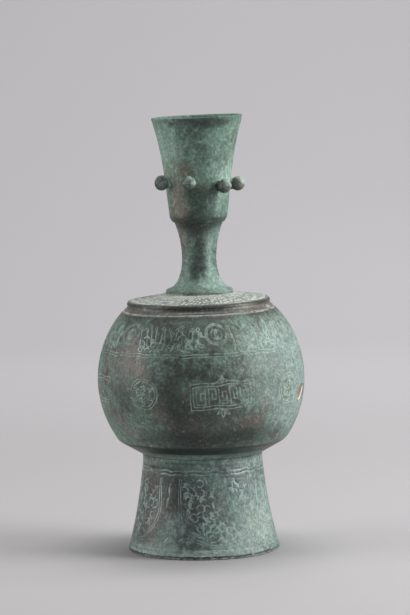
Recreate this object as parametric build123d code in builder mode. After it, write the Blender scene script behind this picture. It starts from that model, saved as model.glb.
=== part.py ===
from build123d import *
import math
import os

# Footed bronze bottle, cast in separate pieces that are joined with soft solder and pegs.
# Millimetres, +Z up, origin at the middle of the face that the foot stands on.
# The front looks along -Y and +X is to its right.

# Joints
SOLDER = 0.3  # thickness of the solder film in every face-to-face joint
BEAD = 0.25  # how far the solder stands out of a joint
SHOULDER_BEAD = 0.9  # the same at the shoulder plate, where it lies up against the plate
FIT = 0.1  # radial clearance of spigots, tenons and the plug

# Foot
FOOT_HEIGHT = 53.8
FOOT_BASE_R = 41.9
FOOT_LIP_HEIGHT = 2.2
FOOT_LIP_PROUD = 0.35
FOOT_LIP_WIDTH = 3.4
FOOT_WAIST_R = 33.1
FOOT_COLLAR = 3.6  # straight length under the joint
FOOT_WALL = 2.4
FLARE_SAG = 1.1  # hollow of the flare's arc against its chord

# Belly
BELLY_R = 57.2
BELLY_DROP = 40.9  # widest place down to the joint
BELLY_MOUTH_R = 42.6
MOUTH_TILT = 1.0  # degrees that the mouth is out of square, lower on the left
BELLY_WALL = 2.6
BELLY_OVERHANG = 0.4  # how far its base stands out past the foot
UNDERSIDE_RISE = 7.3  # height of the sloping underside over the joint
UNDERSIDE_ROUND = 8.0  # round between the side and the underside
BASE_RING_DEPTH = 3.0
BASE_RING_WALL = 2.4

# Plug in the belly
PLUG_HALF_WIDTH = 6.6
PLUG_HALF_HEIGHT = 4.5
PLUG_HEAD = 0.8
PLUG_RECESS = 0.9
PLUG_STEM_R = 2.8
PLUG_DROP = 7.0  # below the widest place
PLUG_TURN = 75.5  # degrees from the front, towards the right

# Shoulder plate
PLATE_LEDGE = 1.6  # width of the belly's mouth left free outside the plate
PLATE_BAND_LEAN = 1.5  # how far the edge stands in at the top of its band
PLATE_BAND = 5.6  # height of the hollow band at the edge
PLATE_BAND_HOLLOW = 0.45  # depth of the band's hollow against its chord
PLATE_BAND_FOOT = 1.1  # straight part under the hollow
PLATE_LIP = 1.8  # thickness of the lip over the hollow
PLATE_LIP_ROUND = 1.7  # round of the lip's upper edge
PLATE_LIP_OVER = 0.4  # how far the lip stands over the hollow
PLATE_RISE = 3.5  # rise of the sloping top
PLATE_WALL = 2.1
PLATE_SKIRT = 4.0  # depth that the skirt enters the belly's mouth
PLATE_SEAT_SPARE = 0.6  # flat left free round the neck's flange

# Neck
NECK_LENGTH = 38.5
NECK_FLANGE_R = 18.6
NECK_FLANGE = 1.3
NECK_WAIST_R = 9.45
NECK_WAIST_UP = 18.36  # height of the waist in the neck
NECK_TOP_R = 13.3
NECK_BORE_R = 6.2
NECK_TENON_R = 9.0
NECK_TENON_BELOW = 1.2  # how far the tenon passes the plate
COVE_UP = 5.7  # height over the flange where the neck's slow curve turns into the cove
COVE_OUT = 2.2  # how far that place stands out past the waist

# Mouth cup
CUP_HEIGHT = 57.7
CUP_BASE_R = 15.8
CUP_RIM_R = 25.2
CUP_BEND_R = 18.7
CUP_BEND_UP = 27.1  # height in the cup where the straight wall starts to flare
CUP_EDGE_UP = 2.3  # slope under the cup's bottom edge
CUP_EDGE_IN = 1.4
CUP_FLOOR = 3.6
CUP_WALL_FOOT = 2.8
CUP_WALL_RIM = 1.8
CUP_SPIGOT_R = 9.0
RIM_SLANT = 1.7  # degrees, lower on the left

# Bosses, set out by eye: degrees from the front towards the right, and lift in mm
BOSS_SITES = (
    (-64.0, 0.5),
    (-13.0, 1.0),
    (41.5, -1.2),
    (87.0, -0.8),
    (139.0, -0.4),
    (191.0, 0.4),
    (244.0, 0.2),
)
BOSS_UP = 21.3  # height of the ring of bosses in the cup
BOSS_BALL_R = 4.0
BOSS_STALK_R = 3.1
BOSS_REACH = 4.1  # cup's wall to the middle of the ball
BOSS_SINK = 0.7  # depth of the spot face at its middle
BOSS_TENON_R = 1.7
DRILL_START = 2.0  # outside the wall, where the drill for a boss starts

# Heights up the tilted line from the belly's middle to its mouth
BELLY_UPPER = math.sqrt(BELLY_R ** 2 - BELLY_MOUTH_R ** 2)
PLATE_BASE_UP = BELLY_UPPER + SOLDER
PLATE_EDGE_UP = PLATE_BASE_UP + PLATE_BAND
PLATE_SEAT_UP = PLATE_EDGE_UP + PLATE_RISE
PLATE_SEAT_R = NECK_FLANGE_R + PLATE_SEAT_SPARE
MOUTH_SINE = math.sin(math.radians(MOUTH_TILT))
MOUTH_COSINE = math.cos(math.radians(MOUTH_TILT))

# Heights that follow from the sizes above. The neck clears the high side of its tilted seat.
BELLY_BASE_Z = FOOT_HEIGHT + SOLDER
BELLY_WIDE_Z = BELLY_BASE_Z + BELLY_DROP
NECK_BASE_Z = BELLY_WIDE_Z + PLATE_SEAT_UP * MOUTH_COSINE + PLATE_SEAT_R * MOUTH_SINE + SOLDER
NECK_TOP_Z = NECK_BASE_Z + NECK_LENGTH
CUP_BASE_Z = NECK_TOP_Z + SOLDER
CUP_RIM_Z = CUP_BASE_Z + CUP_HEIGHT
CUP_FLOOR_Z = CUP_BASE_Z + CUP_FLOOR
CUP_SIDE_Z = CUP_BASE_Z + CUP_EDGE_UP
CUP_BEND_Z = CUP_BASE_Z + CUP_BEND_UP
BOSS_Z = CUP_BASE_Z + BOSS_UP

# Points shared by pieces that meet
FOOT_BORE_R = FOOT_WAIST_R - FOOT_WALL
BASE_RING_R = FOOT_BORE_R - FIT
BELLY_BASE_R = FOOT_WAIST_R + BELLY_OVERHANG
BELLY_INNER_R = BELLY_R - BELLY_WALL
MOUTH_BORE_R = math.sqrt(BELLY_INNER_R ** 2 - BELLY_UPPER ** 2)
PLATE_R = BELLY_MOUTH_R - PLATE_LEDGE
PLATE_TOP_R = PLATE_R - PLATE_BAND_LEAN


def turned_point(turn, reach, height):
    """Point at a distance from the axis, turned in degrees from the front towards the right."""
    angle = math.radians(turn)
    return Vector(reach * math.sin(angle), -reach * math.cos(angle), height)


def cup_outer_radius(height):
    """Radius of the straight part of the cup's outer wall at a height."""
    share = (height - CUP_SIDE_Z) / (CUP_BEND_Z - CUP_SIDE_Z)
    return CUP_BASE_R + share * (CUP_BEND_R - CUP_BASE_R)


def on_round(radius, turn):
    """Point of a round of the belly, as radius and height, turned in degrees above its widest place."""
    angle = math.radians(turn)
    return (radius * math.cos(angle), BELLY_WIDE_Z + radius * math.sin(angle))


os.makedirs("parts", exist_ok=True)

# Foot: flared tube with a low lip, open below
collar_z = FOOT_HEIGHT - FOOT_COLLAR
flare_r = FOOT_BASE_R - FOOT_LIP_PROUD
inner_flare_r = FOOT_BASE_R - FOOT_LIP_WIDTH
with BuildPart() as foot:
    with BuildSketch(Plane.XZ):
        with BuildLine():
            Polyline(
                (inner_flare_r, FOOT_LIP_HEIGHT),
                (inner_flare_r, 0),
                (FOOT_BASE_R - FOOT_LIP_PROUD, 0),
                (FOOT_BASE_R, FOOT_LIP_PROUD),
                (FOOT_BASE_R, FOOT_LIP_HEIGHT - FOOT_LIP_PROUD),
                (flare_r, FOOT_LIP_HEIGHT),
            )
            SagittaArc((flare_r, FOOT_LIP_HEIGHT), (FOOT_WAIST_R, collar_z), FLARE_SAG)
            Polyline(
                (FOOT_WAIST_R, collar_z),
                (FOOT_WAIST_R, FOOT_HEIGHT),
                (FOOT_BORE_R, FOOT_HEIGHT),
                (FOOT_BORE_R, collar_z),
            )
            SagittaArc((FOOT_BORE_R, collar_z), (inner_flare_r, FOOT_LIP_HEIGHT), -FLARE_SAG)
        make_face()
    revolve(axis=Axis.Z)
foot.part.label = "foot"
export_step(foot.part, "parts/foot.step")

# Solder between foot and belly
with BuildPart() as foot_solder:
    with BuildSketch(Plane.XY.offset(FOOT_HEIGHT)):
        Circle(FOOT_WAIST_R + BEAD)
        Circle(FOOT_BORE_R, mode=Mode.SUBTRACT)
    extrude(amount=SOLDER)
foot_solder.part.label = "foot_solder"
export_step(foot_solder.part, "parts/foot_solder.step")

# Belly: round pot of even wall with a sloping underside, its mouth cut out of square, and a ring below that
# centres it in the foot. Its round side is left a little long until the mouth is cut.
belly_floor_z = BELLY_BASE_Z + BELLY_WALL
side_start = -math.degrees(math.asin((BELLY_DROP - UNDERSIDE_RISE) / BELLY_R))
side_end = math.degrees(math.acos(BELLY_MOUTH_R / BELLY_R)) + MOUTH_TILT + 4.0
mouth_up = Vector(-MOUTH_SINE, 0, MOUTH_COSINE)
belly_middle = Vector(0, 0, BELLY_WIDE_Z)
with BuildPart() as belly:
    with BuildSketch(Plane.XZ) as belly_section:
        with BuildLine():
            outside = [on_round(BELLY_R, turn) for turn in (side_start, 0, side_end)]
            inside = [on_round(BELLY_INNER_R, turn) for turn in (side_start, 0, side_end)]
            Polyline(
                outside[0],
                (BELLY_BASE_R, BELLY_BASE_Z),
                (0, BELLY_BASE_Z),
                (0, belly_floor_z),
                (BELLY_BASE_R, belly_floor_z),
                inside[0],
            )
            ThreePointArc(outside)
            ThreePointArc(inside)
            Line(outside[2], inside[2])
        make_face()
        fillet(belly_section.vertices().sort_by_distance(outside[0])[0], UNDERSIDE_ROUND)
    revolve(axis=Axis.Z)
    split(bisect_by=Plane(origin=belly_middle + mouth_up * BELLY_UPPER, z_dir=mouth_up), keep=Keep.BOTTOM)
    with BuildSketch(Plane.XY.offset(BELLY_BASE_Z)):
        Circle(BASE_RING_R)
        Circle(BASE_RING_R - BASE_RING_WALL, mode=Mode.SUBTRACT)
    extrude(amount=-BASE_RING_DEPTH)

    # Oval seat and round hole for the plug, square to the wall
    tilt = math.asin(PLUG_DROP / BELLY_R)
    plug_spot = turned_point(PLUG_TURN, BELLY_R * math.cos(tilt), BELLY_WIDE_Z - PLUG_DROP)
    plug_out = turned_point(PLUG_TURN, math.cos(tilt), -math.sin(tilt))
    plug_side = turned_point(PLUG_TURN + 90, 1, 0)
    plug_plane = Plane(origin=plug_spot, x_dir=plug_side, z_dir=plug_out)
    with BuildSketch(plug_plane):
        Ellipse(PLUG_HALF_WIDTH + FIT, PLUG_HALF_HEIGHT + FIT)
    extrude(amount=-PLUG_RECESS - PLUG_HEAD, mode=Mode.SUBTRACT)
    with BuildSketch(plug_plane):
        Circle(PLUG_STEM_R + FIT)
    extrude(amount=-2 * BELLY_WALL, mode=Mode.SUBTRACT)
belly.part.label = "belly"
export_step(belly.part, "parts/belly.step")

# Plug: low oval head on its seat, stem through the wall
with BuildPart() as belly_plug:
    with BuildSketch(plug_plane.offset(-PLUG_RECESS)):
        Ellipse(PLUG_HALF_WIDTH, PLUG_HALF_HEIGHT)
    extrude(amount=-PLUG_HEAD)
    with BuildSketch(plug_plane.offset(-PLUG_RECESS - PLUG_HEAD)):
        Circle(PLUG_STEM_R)
    extrude(amount=PLUG_RECESS + PLUG_HEAD - BELLY_WALL)
belly_plug.part.label = "belly_plug"
export_step(belly_plug.part, "parts/belly_plug.step")

# Shoulder plate: low cap with a hollow band under its lip and a skirt inside the belly's mouth, tilted like
# the mouth. Its hole is upright, as the neck is. Heights in its section start at the belly's middle.
skirt_r = MOUTH_BORE_R - FIT
skirt_inner_r = skirt_r - PLATE_WALL
neck_hole_r = NECK_TENON_R + FIT
round_rise = PLATE_LIP_ROUND * PLATE_RISE / (PLATE_TOP_R - PLATE_SEAT_R)
mouth_section = Plane(origin=belly_middle, x_dir=(MOUTH_COSINE, 0, MOUTH_SINE), z_dir=(0, -1, 0))
mouth_axis = Axis(belly_middle, mouth_up)
with BuildPart() as shoulder_plate:
    with BuildSketch(mouth_section):
        with BuildLine():
            SagittaArc(
                (PLATE_R, PLATE_BASE_UP + PLATE_BAND_FOOT),
                (PLATE_TOP_R - PLATE_LIP_OVER, PLATE_EDGE_UP - PLATE_LIP),
                PLATE_BAND_HOLLOW,
            )
            Polyline(
                (PLATE_TOP_R - PLATE_LIP_OVER, PLATE_EDGE_UP - PLATE_LIP),
                (PLATE_TOP_R, PLATE_EDGE_UP - PLATE_LIP),
                (PLATE_TOP_R, PLATE_EDGE_UP - PLATE_LIP_ROUND),
            )
            TangentArc(
                (PLATE_TOP_R, PLATE_EDGE_UP - PLATE_LIP_ROUND),
                (PLATE_TOP_R - PLATE_LIP_ROUND, PLATE_EDGE_UP + round_rise),
                tangent=(0, 1),
            )
            Polyline(
                (PLATE_TOP_R - PLATE_LIP_ROUND, PLATE_EDGE_UP + round_rise),
                (PLATE_SEAT_R, PLATE_SEAT_UP),
                (0, PLATE_SEAT_UP),
                (0, PLATE_SEAT_UP - PLATE_WALL),
                (PLATE_SEAT_R, PLATE_SEAT_UP - PLATE_WALL),
                (skirt_inner_r, PLATE_EDGE_UP - PLATE_WALL),
                (skirt_inner_r, PLATE_BASE_UP - PLATE_SKIRT),
                (skirt_r, PLATE_BASE_UP - PLATE_SKIRT),
                (skirt_r, PLATE_BASE_UP),
                (PLATE_R, PLATE_BASE_UP),
                (PLATE_R, PLATE_BASE_UP + PLATE_BAND_FOOT),
            )
        make_face()
    revolve(axis=mouth_axis)
    with BuildSketch(Plane.XY.offset(NECK_BASE_Z)):
        Circle(neck_hole_r)
    extrude(amount=-4 * PLATE_WALL, mode=Mode.SUBTRACT)
shoulder_plate.part.label = "shoulder_plate"
export_step(shoulder_plate.part, "parts/shoulder_plate.step")

# Solder between belly and shoulder plate, with a rounded bead against the plate's foot
with BuildPart() as shoulder_solder:
    with BuildSketch(mouth_section):
        with BuildLine():
            Polyline(
                (PLATE_R, BELLY_UPPER + SHOULDER_BEAD),
                (PLATE_R, PLATE_BASE_UP),
                (MOUTH_BORE_R, PLATE_BASE_UP),
                (MOUTH_BORE_R, BELLY_UPPER),
                (PLATE_R + SHOULDER_BEAD, BELLY_UPPER),
            )
            RadiusArc(
                (PLATE_R + SHOULDER_BEAD, BELLY_UPPER), (PLATE_R, BELLY_UPPER + SHOULDER_BEAD), -SHOULDER_BEAD
            )
        make_face()
    revolve(axis=mouth_axis)
shoulder_solder.part.label = "shoulder_solder"
export_step(shoulder_solder.part, "parts/shoulder_solder.step")

# Neck: waisted tube, thin flange and tenon below, spigot for the cup above
waist_z = NECK_BASE_Z + NECK_WAIST_UP
flange_top_z = NECK_BASE_Z + NECK_FLANGE
cove_r = NECK_WAIST_R + COVE_OUT
cove_z = flange_top_z + COVE_UP
tenon_end_z = BELLY_WIDE_Z + PLATE_SEAT_UP - PLATE_WALL - NECK_TENON_BELOW
with BuildPart() as neck:
    with BuildSketch(Plane.XZ):
        with BuildLine():
            Polyline(
                (NECK_BORE_R, CUP_FLOOR_Z),
                (NECK_BORE_R, tenon_end_z),
                (NECK_TENON_R, tenon_end_z),
                (NECK_TENON_R, NECK_BASE_Z),
                (NECK_FLANGE_R, NECK_BASE_Z),
                (NECK_FLANGE_R, flange_top_z),
            )
            slow_curve = TangentArc((NECK_WAIST_R, waist_z), (cove_r, cove_z), tangent=(0, -1))
            TangentArc((cove_r, cove_z), (NECK_FLANGE_R, flange_top_z), tangent=slow_curve % 1)
            TangentArc((NECK_WAIST_R, waist_z), (NECK_TOP_R, NECK_TOP_Z), tangent=(0, 1))
            Polyline(
                (NECK_TOP_R, NECK_TOP_Z),
                (CUP_SPIGOT_R, NECK_TOP_Z),
                (CUP_SPIGOT_R, CUP_FLOOR_Z),
                (NECK_BORE_R, CUP_FLOOR_Z),
            )
        make_face()
    revolve(axis=Axis.Z)
neck.part.label = "neck"
export_step(neck.part, "parts/neck.step")

# Solder under the neck's flange: a wedge that fills the room between the upright neck and the tilted plate
with BuildPart() as neck_solder:
    with BuildSketch(Plane.XY.offset(NECK_BASE_Z)):
        Circle(NECK_FLANGE_R + BEAD)
        Circle(neck_hole_r, mode=Mode.SUBTRACT)
    extrude(amount=-PLATE_WALL)
    add(shoulder_plate.part, mode=Mode.SUBTRACT)
neck_solder.part.label = "neck_solder"
export_step(neck_solder.part, "parts/neck_solder.step")

# Mouth cup: flared wall, holed floor, rim filed off a little out of square
spigot_hole_r = CUP_SPIGOT_R + FIT
cup_inner_r = CUP_BASE_R - CUP_WALL_FOOT
cup_inner_rim_r = CUP_RIM_R - CUP_WALL_RIM
cup_inner_bend_r = CUP_BEND_R - (CUP_WALL_FOOT + CUP_WALL_RIM) / 2
rim_spare = CUP_RIM_R * math.tan(math.radians(RIM_SLANT)) + 1.0
with BuildPart() as mouth_cup:
    with BuildSketch(Plane.XZ):
        with BuildLine():
            outer_side = Line((CUP_BASE_R, CUP_SIDE_Z), (CUP_BEND_R, CUP_BEND_Z))
            inner_side = Line((cup_inner_r, CUP_FLOOR_Z), (cup_inner_bend_r, CUP_BEND_Z))
            outer_wall = TangentArc((CUP_BEND_R, CUP_BEND_Z), (CUP_RIM_R, CUP_RIM_Z), tangent=outer_side % 1)
            inner_wall = TangentArc(
                (cup_inner_bend_r, CUP_BEND_Z), (cup_inner_rim_r, CUP_RIM_Z), tangent=inner_side % 1
            )
            outer_end = outer_wall @ 1 + outer_wall % 1 * rim_spare
            inner_end = inner_wall @ 1 + inner_wall % 1 * rim_spare
            Polyline(outer_wall @ 1, outer_end, inner_end, inner_wall @ 1)
            Polyline(
                (cup_inner_r, CUP_FLOOR_Z),
                (spigot_hole_r, CUP_FLOOR_Z),
                (spigot_hole_r, CUP_BASE_Z),
                (CUP_BASE_R - CUP_EDGE_IN, CUP_BASE_Z),
                (CUP_BASE_R, CUP_SIDE_Z),
            )
        make_face()
    revolve(axis=Axis.Z)
    slant = math.radians(RIM_SLANT)
    rim_plane = Plane(origin=(0, 0, CUP_RIM_Z), z_dir=(-math.sin(slant), 0, math.cos(slant)))
    split(bisect_by=rim_plane, keep=Keep.BOTTOM)

    # Spot-faced holes for the bosses
    for turn, lift in BOSS_SITES:
        wall_r = cup_outer_radius(BOSS_Z + lift)
        drill_point = turned_point(turn, wall_r + DRILL_START, BOSS_Z + lift)
        drill_plane = Plane(origin=drill_point, z_dir=turned_point(turn, 1, 0))
        with Locations(drill_plane):
            CounterBoreHole(
                radius=BOSS_TENON_R + FIT,
                counter_bore_radius=BOSS_STALK_R + FIT,
                counter_bore_depth=DRILL_START + BOSS_SINK,
                depth=DRILL_START + 2 * CUP_WALL_FOOT,
            )
mouth_cup.part.label = "mouth_cup"
export_step(mouth_cup.part, "parts/mouth_cup.step")

# Solder between neck and cup
with BuildPart() as cup_solder:
    with BuildSketch(Plane.XY.offset(NECK_TOP_Z)):
        Circle(NECK_TOP_R + BEAD)
        Circle(spigot_hole_r, mode=Mode.SUBTRACT)
    extrude(amount=SOLDER)
cup_solder.part.label = "cup_solder"
export_step(cup_solder.part, "parts/cup_solder.step")

# Bosses: ball head on a short stalk, tenon through the cup's wall
boss_wall = 0.5 * (CUP_WALL_FOOT + CUP_WALL_RIM)
ball_start = math.sqrt(BOSS_BALL_R ** 2 - BOSS_STALK_R ** 2)
for number, (turn, lift) in enumerate(BOSS_SITES, start=1):
    boss_z = BOSS_Z + lift
    wall_r = cup_outer_radius(boss_z)
    seat_r = wall_r - BOSS_SINK
    ball_r = wall_r + BOSS_REACH
    outward = turned_point(turn, 1, 0)
    boss_plane = Plane(origin=(0, 0, boss_z), x_dir=outward, z_dir=outward.cross(Vector(0, 0, 1)))
    with BuildPart() as boss:
        with BuildSketch(boss_plane):
            with BuildLine():
                Polyline(
                    (ball_r + BOSS_BALL_R, 0),
                    (wall_r - boss_wall, 0),
                    (wall_r - boss_wall, BOSS_TENON_R),
                    (seat_r, BOSS_TENON_R),
                    (seat_r, BOSS_STALK_R),
                    (ball_r - ball_start, BOSS_STALK_R),
                )
                ThreePointArc(
                    (ball_r - ball_start, BOSS_STALK_R), (ball_r, BOSS_BALL_R), (ball_r + BOSS_BALL_R, 0)
                )
            make_face()
        revolve(axis=Axis((0, 0, boss_z), outward))
    boss.part.label = f"boss_{number}"
    export_step(boss.part, f"parts/boss_{number}.step")
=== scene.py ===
import math

import bpy
import numpy as np
from mathutils import Matrix, Vector


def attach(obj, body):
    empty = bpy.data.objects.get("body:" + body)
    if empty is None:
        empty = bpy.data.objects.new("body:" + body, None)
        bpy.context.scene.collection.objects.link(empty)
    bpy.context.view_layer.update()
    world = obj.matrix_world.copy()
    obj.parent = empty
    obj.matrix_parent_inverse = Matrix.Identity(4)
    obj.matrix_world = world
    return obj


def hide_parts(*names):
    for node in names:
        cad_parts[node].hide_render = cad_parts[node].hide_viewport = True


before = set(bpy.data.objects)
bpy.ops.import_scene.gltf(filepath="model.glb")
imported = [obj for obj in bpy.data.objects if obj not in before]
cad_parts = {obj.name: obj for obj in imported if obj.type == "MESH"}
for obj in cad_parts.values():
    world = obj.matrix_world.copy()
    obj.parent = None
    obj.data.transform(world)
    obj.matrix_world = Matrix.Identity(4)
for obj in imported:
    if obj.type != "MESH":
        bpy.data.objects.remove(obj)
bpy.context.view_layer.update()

# Foot
# A flared pedestal of cast bronze, open below, engraved outside with four tall rounded panels of curls.
# Its plain upper edge is soldered to the belly, and its worn lip stands on the floor.
MILLIMETRE = 0.001
FOOT_TOP = 53.8
FOOT_BASE_R = 41.9
FOOT_LIP = 2.2
FOOT_LIP_PROUD = 0.35
FOOT_INNER_R = 38.5
FOOT_WAIST_R = 33.1
FOOT_BORE_R = 30.7
FOOT_COLLAR_Z = 50.2
FOOT_HOLLOW = 1.1
FOOT_COLUMNS = 576
FOOT_COLUMNS_INSIDE = 144
FOOT_CUT_DEPTH = 0.2
FOOT_CUT_WIDTH = 0.7
FOOT_CUT_LOW_Z = 3.0
FOOT_CUT_HIGH_Z = 49.5
FOOT_LINES_Z = (5.0, 45.6, 47.6)
FOOT_CHIP_DEPTH = 0.6
LIP_DARK_LINE_Z = 1.5
LIP_DARK_LINE_HALF = 0.5
PANEL_TURN = 13.2
PANEL_HALF_WIDTH = 22.4
PANEL_SPRING_Z = 27.0
PANEL_DROP = 20.6
PANEL_TOP_Z = 43.5
PANEL_REFERENCE_R = 36.0
PANEL_LINE_GAP = 1.3
PANEL_MARGIN = 2.4
SWELL_HEIGHT = 45.0
SHARP_EDGE = 48.0
FAR_OFF = 9.0
# The pale and black marks hold painted highlights and painted shade as well as patina.
MARKS = ("cut", "mint_and_highlight", "brown", "soot_and_shade")


def rows_along(points, step):
    """Rows on a broken line: each leg is cut into equal lengths no longer than step.
    The last point is left out."""
    points = np.asarray(points, float)
    legs = np.diff(points, axis=0)
    counts = np.maximum(1, np.ceil(np.hypot(legs[:, 0], legs[:, 1]) / step)).astype(int)
    share = np.concatenate([np.arange(count) / count for count in counts])
    leg = np.repeat(np.arange(len(counts)), counts)
    return points[leg] + share[:, None] * legs[leg]


def bowed(start, end, hollow, count=25):
    """Shallow bow: the straight way from start to end, plus 4 * hollow * s * (1 - s) to its left."""
    share = np.linspace(0, 1, count)[:, None]
    start = np.array(start, float)
    way = np.array(end, float) - start
    left = np.array([-way[1], way[0]]) / np.hypot(way[0], way[1])
    return start + share * way + 4 * hollow * share * (1 - share) * left


def out_of_metal(rows, ring=True):
    """Unit vectors square to the way along the rows, on its right. The air is there when the outside
    is walked upwards. In a ring of rows the last is followed by the first."""
    way = np.roll(rows, -1, axis=0) - np.roll(rows, 1, axis=0)
    if not ring:
        way[0] = rows[1] - rows[0]
        way[-1] = rows[-1] - rows[-2]
    out = np.stack([way[:, 1], -way[:, 0]], axis=1)
    return out / np.hypot(out[:, 0], out[:, 1])[:, None]


def turns(columns):
    """Angles of the columns in degrees from the front, -180 to 180, growing towards the right."""
    return np.arange(columns) * 360.0 / columns - 180.0


def swell(turn, height, seed, waves=26, finest=9):
    """Slow unevenness of about -1 to 1: a sum of cosine waves of random direction, each with a whole
    number of rounds about the axis, below finest, over the root of their number."""
    draw = np.random.default_rng(seed)
    total = np.zeros(np.broadcast(turn, height).shape)
    for wave in range(waves):
        round_count = draw.integers(0, finest)
        rise = draw.normal(0, finest / 3.0)
        phase = draw.uniform(0, 2 * math.pi)
        total += np.cos(np.radians(turn) * round_count + height * rise / SWELL_HEIGHT + phase)
    return total / math.sqrt(waves)


def spots(turn, height, radius, patches):
    """Soft patches, each given by its turn, level, width, height and strength.
    Each adds strength * exp(-(across / width)^2 - (along / tall)^2). The sum is kept within 0 to 1."""
    total = np.zeros(np.broadcast(turn, height).shape)
    for middle, level, width, tall, strength in patches:
        across = (np.mod(turn - middle + 180, 360) - 180) * math.pi / 180 * radius / width
        along = (height - level) / tall
        total += strength * np.exp(-across ** 2 - along ** 2)
    return np.clip(total, 0, 1)


def joined(cut, mint_and_highlight, brown, soot_and_shade):
    """The four marks of every point side by side, kept within 0 to 1."""
    return np.clip(np.stack(np.broadcast_arrays(cut, mint_and_highlight, brown, soot_and_shade), axis=-1), 0, 1)


def band(rows, out, columns, relief=0.0):
    """Points of a turned band: each row is moved out by relief and carried round the axis."""
    angle = np.radians(turns(columns))[None, :]
    radius = rows[:, :1] + out[:, :1] * relief
    height = rows[:, 1:] + out[:, 1:] * relief
    radius, height, angle = np.broadcast_arrays(radius, height, angle)
    return np.stack([radius * np.sin(angle), -radius * np.cos(angle), height], axis=-1)


def stitched(lower, upper):
    """Faces between two rings of point numbers. The finer ring has a whole number of points to each
    point of the other."""
    count = min(len(lower), len(upper))
    below = len(lower) // count
    above = len(upper) // count
    cell = np.arange(count)[:, None]
    along = lower[(cell * below + np.arange(below + 1)) % len(lower)]
    back = upper[(cell * above + np.arange(above, -1, -1)) % len(upper)]
    return np.concatenate([along, back], axis=1)


def turned_skin(name, bands, marks, ends=None):
    """One closed skin over turned bands that follow each other, with a face between neighbouring rings.
    Without ends the last ring meets the first. With ends, a pair of points on the axis, the first and
    last rings are closed by fans."""
    rings = []
    points = []
    start = 0
    for part in bands:
        row_count, column_count = part.shape[:2]
        numbers = start + np.arange(row_count * column_count).reshape(row_count, column_count)
        rings.extend(numbers)
        points.append(part.reshape(-1, 3))
        start += row_count * column_count
    faces = [stitched(rings[i], rings[i + 1]) for i in range(len(rings) - 1)]
    if ends is None:
        faces.append(stitched(rings[-1], rings[0]))
    else:
        points.append(np.array(ends, float))
        first, last = rings[0], rings[-1]
        faces.append(np.stack([np.full(len(first), start), np.roll(first, -1), first], axis=1))
        faces.append(np.stack([np.full(len(last), start + 1), last, np.roll(last, -1)], axis=1))
    points = np.concatenate(points) * MILLIMETRE
    sizes = np.concatenate([np.full(len(part), part.shape[1]) for part in faces])
    corners = np.concatenate([part.ravel() for part in faces])
    starts = np.concatenate([[0], np.cumsum(sizes)[:-1]])
    mesh = bpy.data.meshes.new(name)
    mesh.vertices.add(len(points))
    mesh.vertices.foreach_set("co", points.ravel())
    mesh.loops.add(len(corners))
    mesh.loops.foreach_set("vertex_index", corners.astype(np.int32))
    mesh.polygons.add(len(sizes))
    mesh.polygons.foreach_set("loop_start", starts.astype(np.int32))
    mesh.update(calc_edges=True)
    mesh.polygons.foreach_set("use_smooth", np.ones(len(sizes), bool))
    mesh.set_sharp_from_angle(angle=math.radians(SHARP_EDGE))
    for number, mark in enumerate(MARKS):
        values = np.concatenate([part[..., number].ravel() for part in marks])
        values = np.pad(values, (0, len(points) - len(values)))
        layer = mesh.attributes.new(mark, "FLOAT", "POINT")
        layer.data.foreach_set("value", values.astype(np.float32))
    piece = bpy.data.objects.new(name, mesh)
    bpy.context.collection.objects.link(piece)
    return piece


def line_gap(u, v, start, end):
    """Distance to a straight cut: to the nearest point of the leg from start to end."""
    leg_u, leg_v = end[0] - start[0], end[1] - start[1]
    share = ((u - start[0]) * leg_u + (v - start[1]) * leg_v) / (leg_u ** 2 + leg_v ** 2)
    share = np.clip(share, 0, 1)
    return np.hypot(u - start[0] - share * leg_u, v - start[1] - share * leg_v)


def ring_gap(u, v, middle, radius):
    """Distance to a round cut: how far the distance from its middle is off the radius."""
    return np.abs(np.hypot(u - middle[0], v - middle[1]) - radius)


def scroll_gap(u, v, middle, reach, pitch):
    """Distance to a spiral cut whose radius grows by pitch each turn, out to reach."""
    away = np.hypot(u - middle[0], v - middle[1])
    angle = np.arctan2(v - middle[1], u - middle[0])
    lag = away / pitch - angle / (2 * math.pi)
    return np.maximum(np.abs(lag - np.round(lag)) * pitch, away - reach)


def leaf_gap(u, v, root, tip, fat):
    """Distance to a leaf's outline: two bows from root to tip, fat wide at their middle."""
    way_u, way_v = tip[0] - root[0], tip[1] - root[1]
    length = math.hypot(way_u, way_v)
    along = ((u - root[0]) * way_u + (v - root[1]) * way_v) / length
    across = ((v - root[1]) * way_u - (u - root[0]) * way_v) / length
    share = np.clip(along / length, 0, 1)
    edge = 2 * fat * share * (1 - share)
    beyond = np.maximum(np.maximum(-along, along - length), 0)
    return np.hypot(np.abs(across) - edge, beyond)


def groove(gaps, width):
    """Depth of cuts, 1 at their middle and falling smoothly to 0 at width from it."""
    depth = np.clip(1 - np.minimum.reduce(gaps) / width, 0, 1)
    return depth * depth * (3 - 2 * depth)


def repeated(turn, middle, period):
    """Angle from the nearest of the middles that stand one period apart, in degrees."""
    return np.mod(turn - middle + period / 2, period) - period / 2


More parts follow.
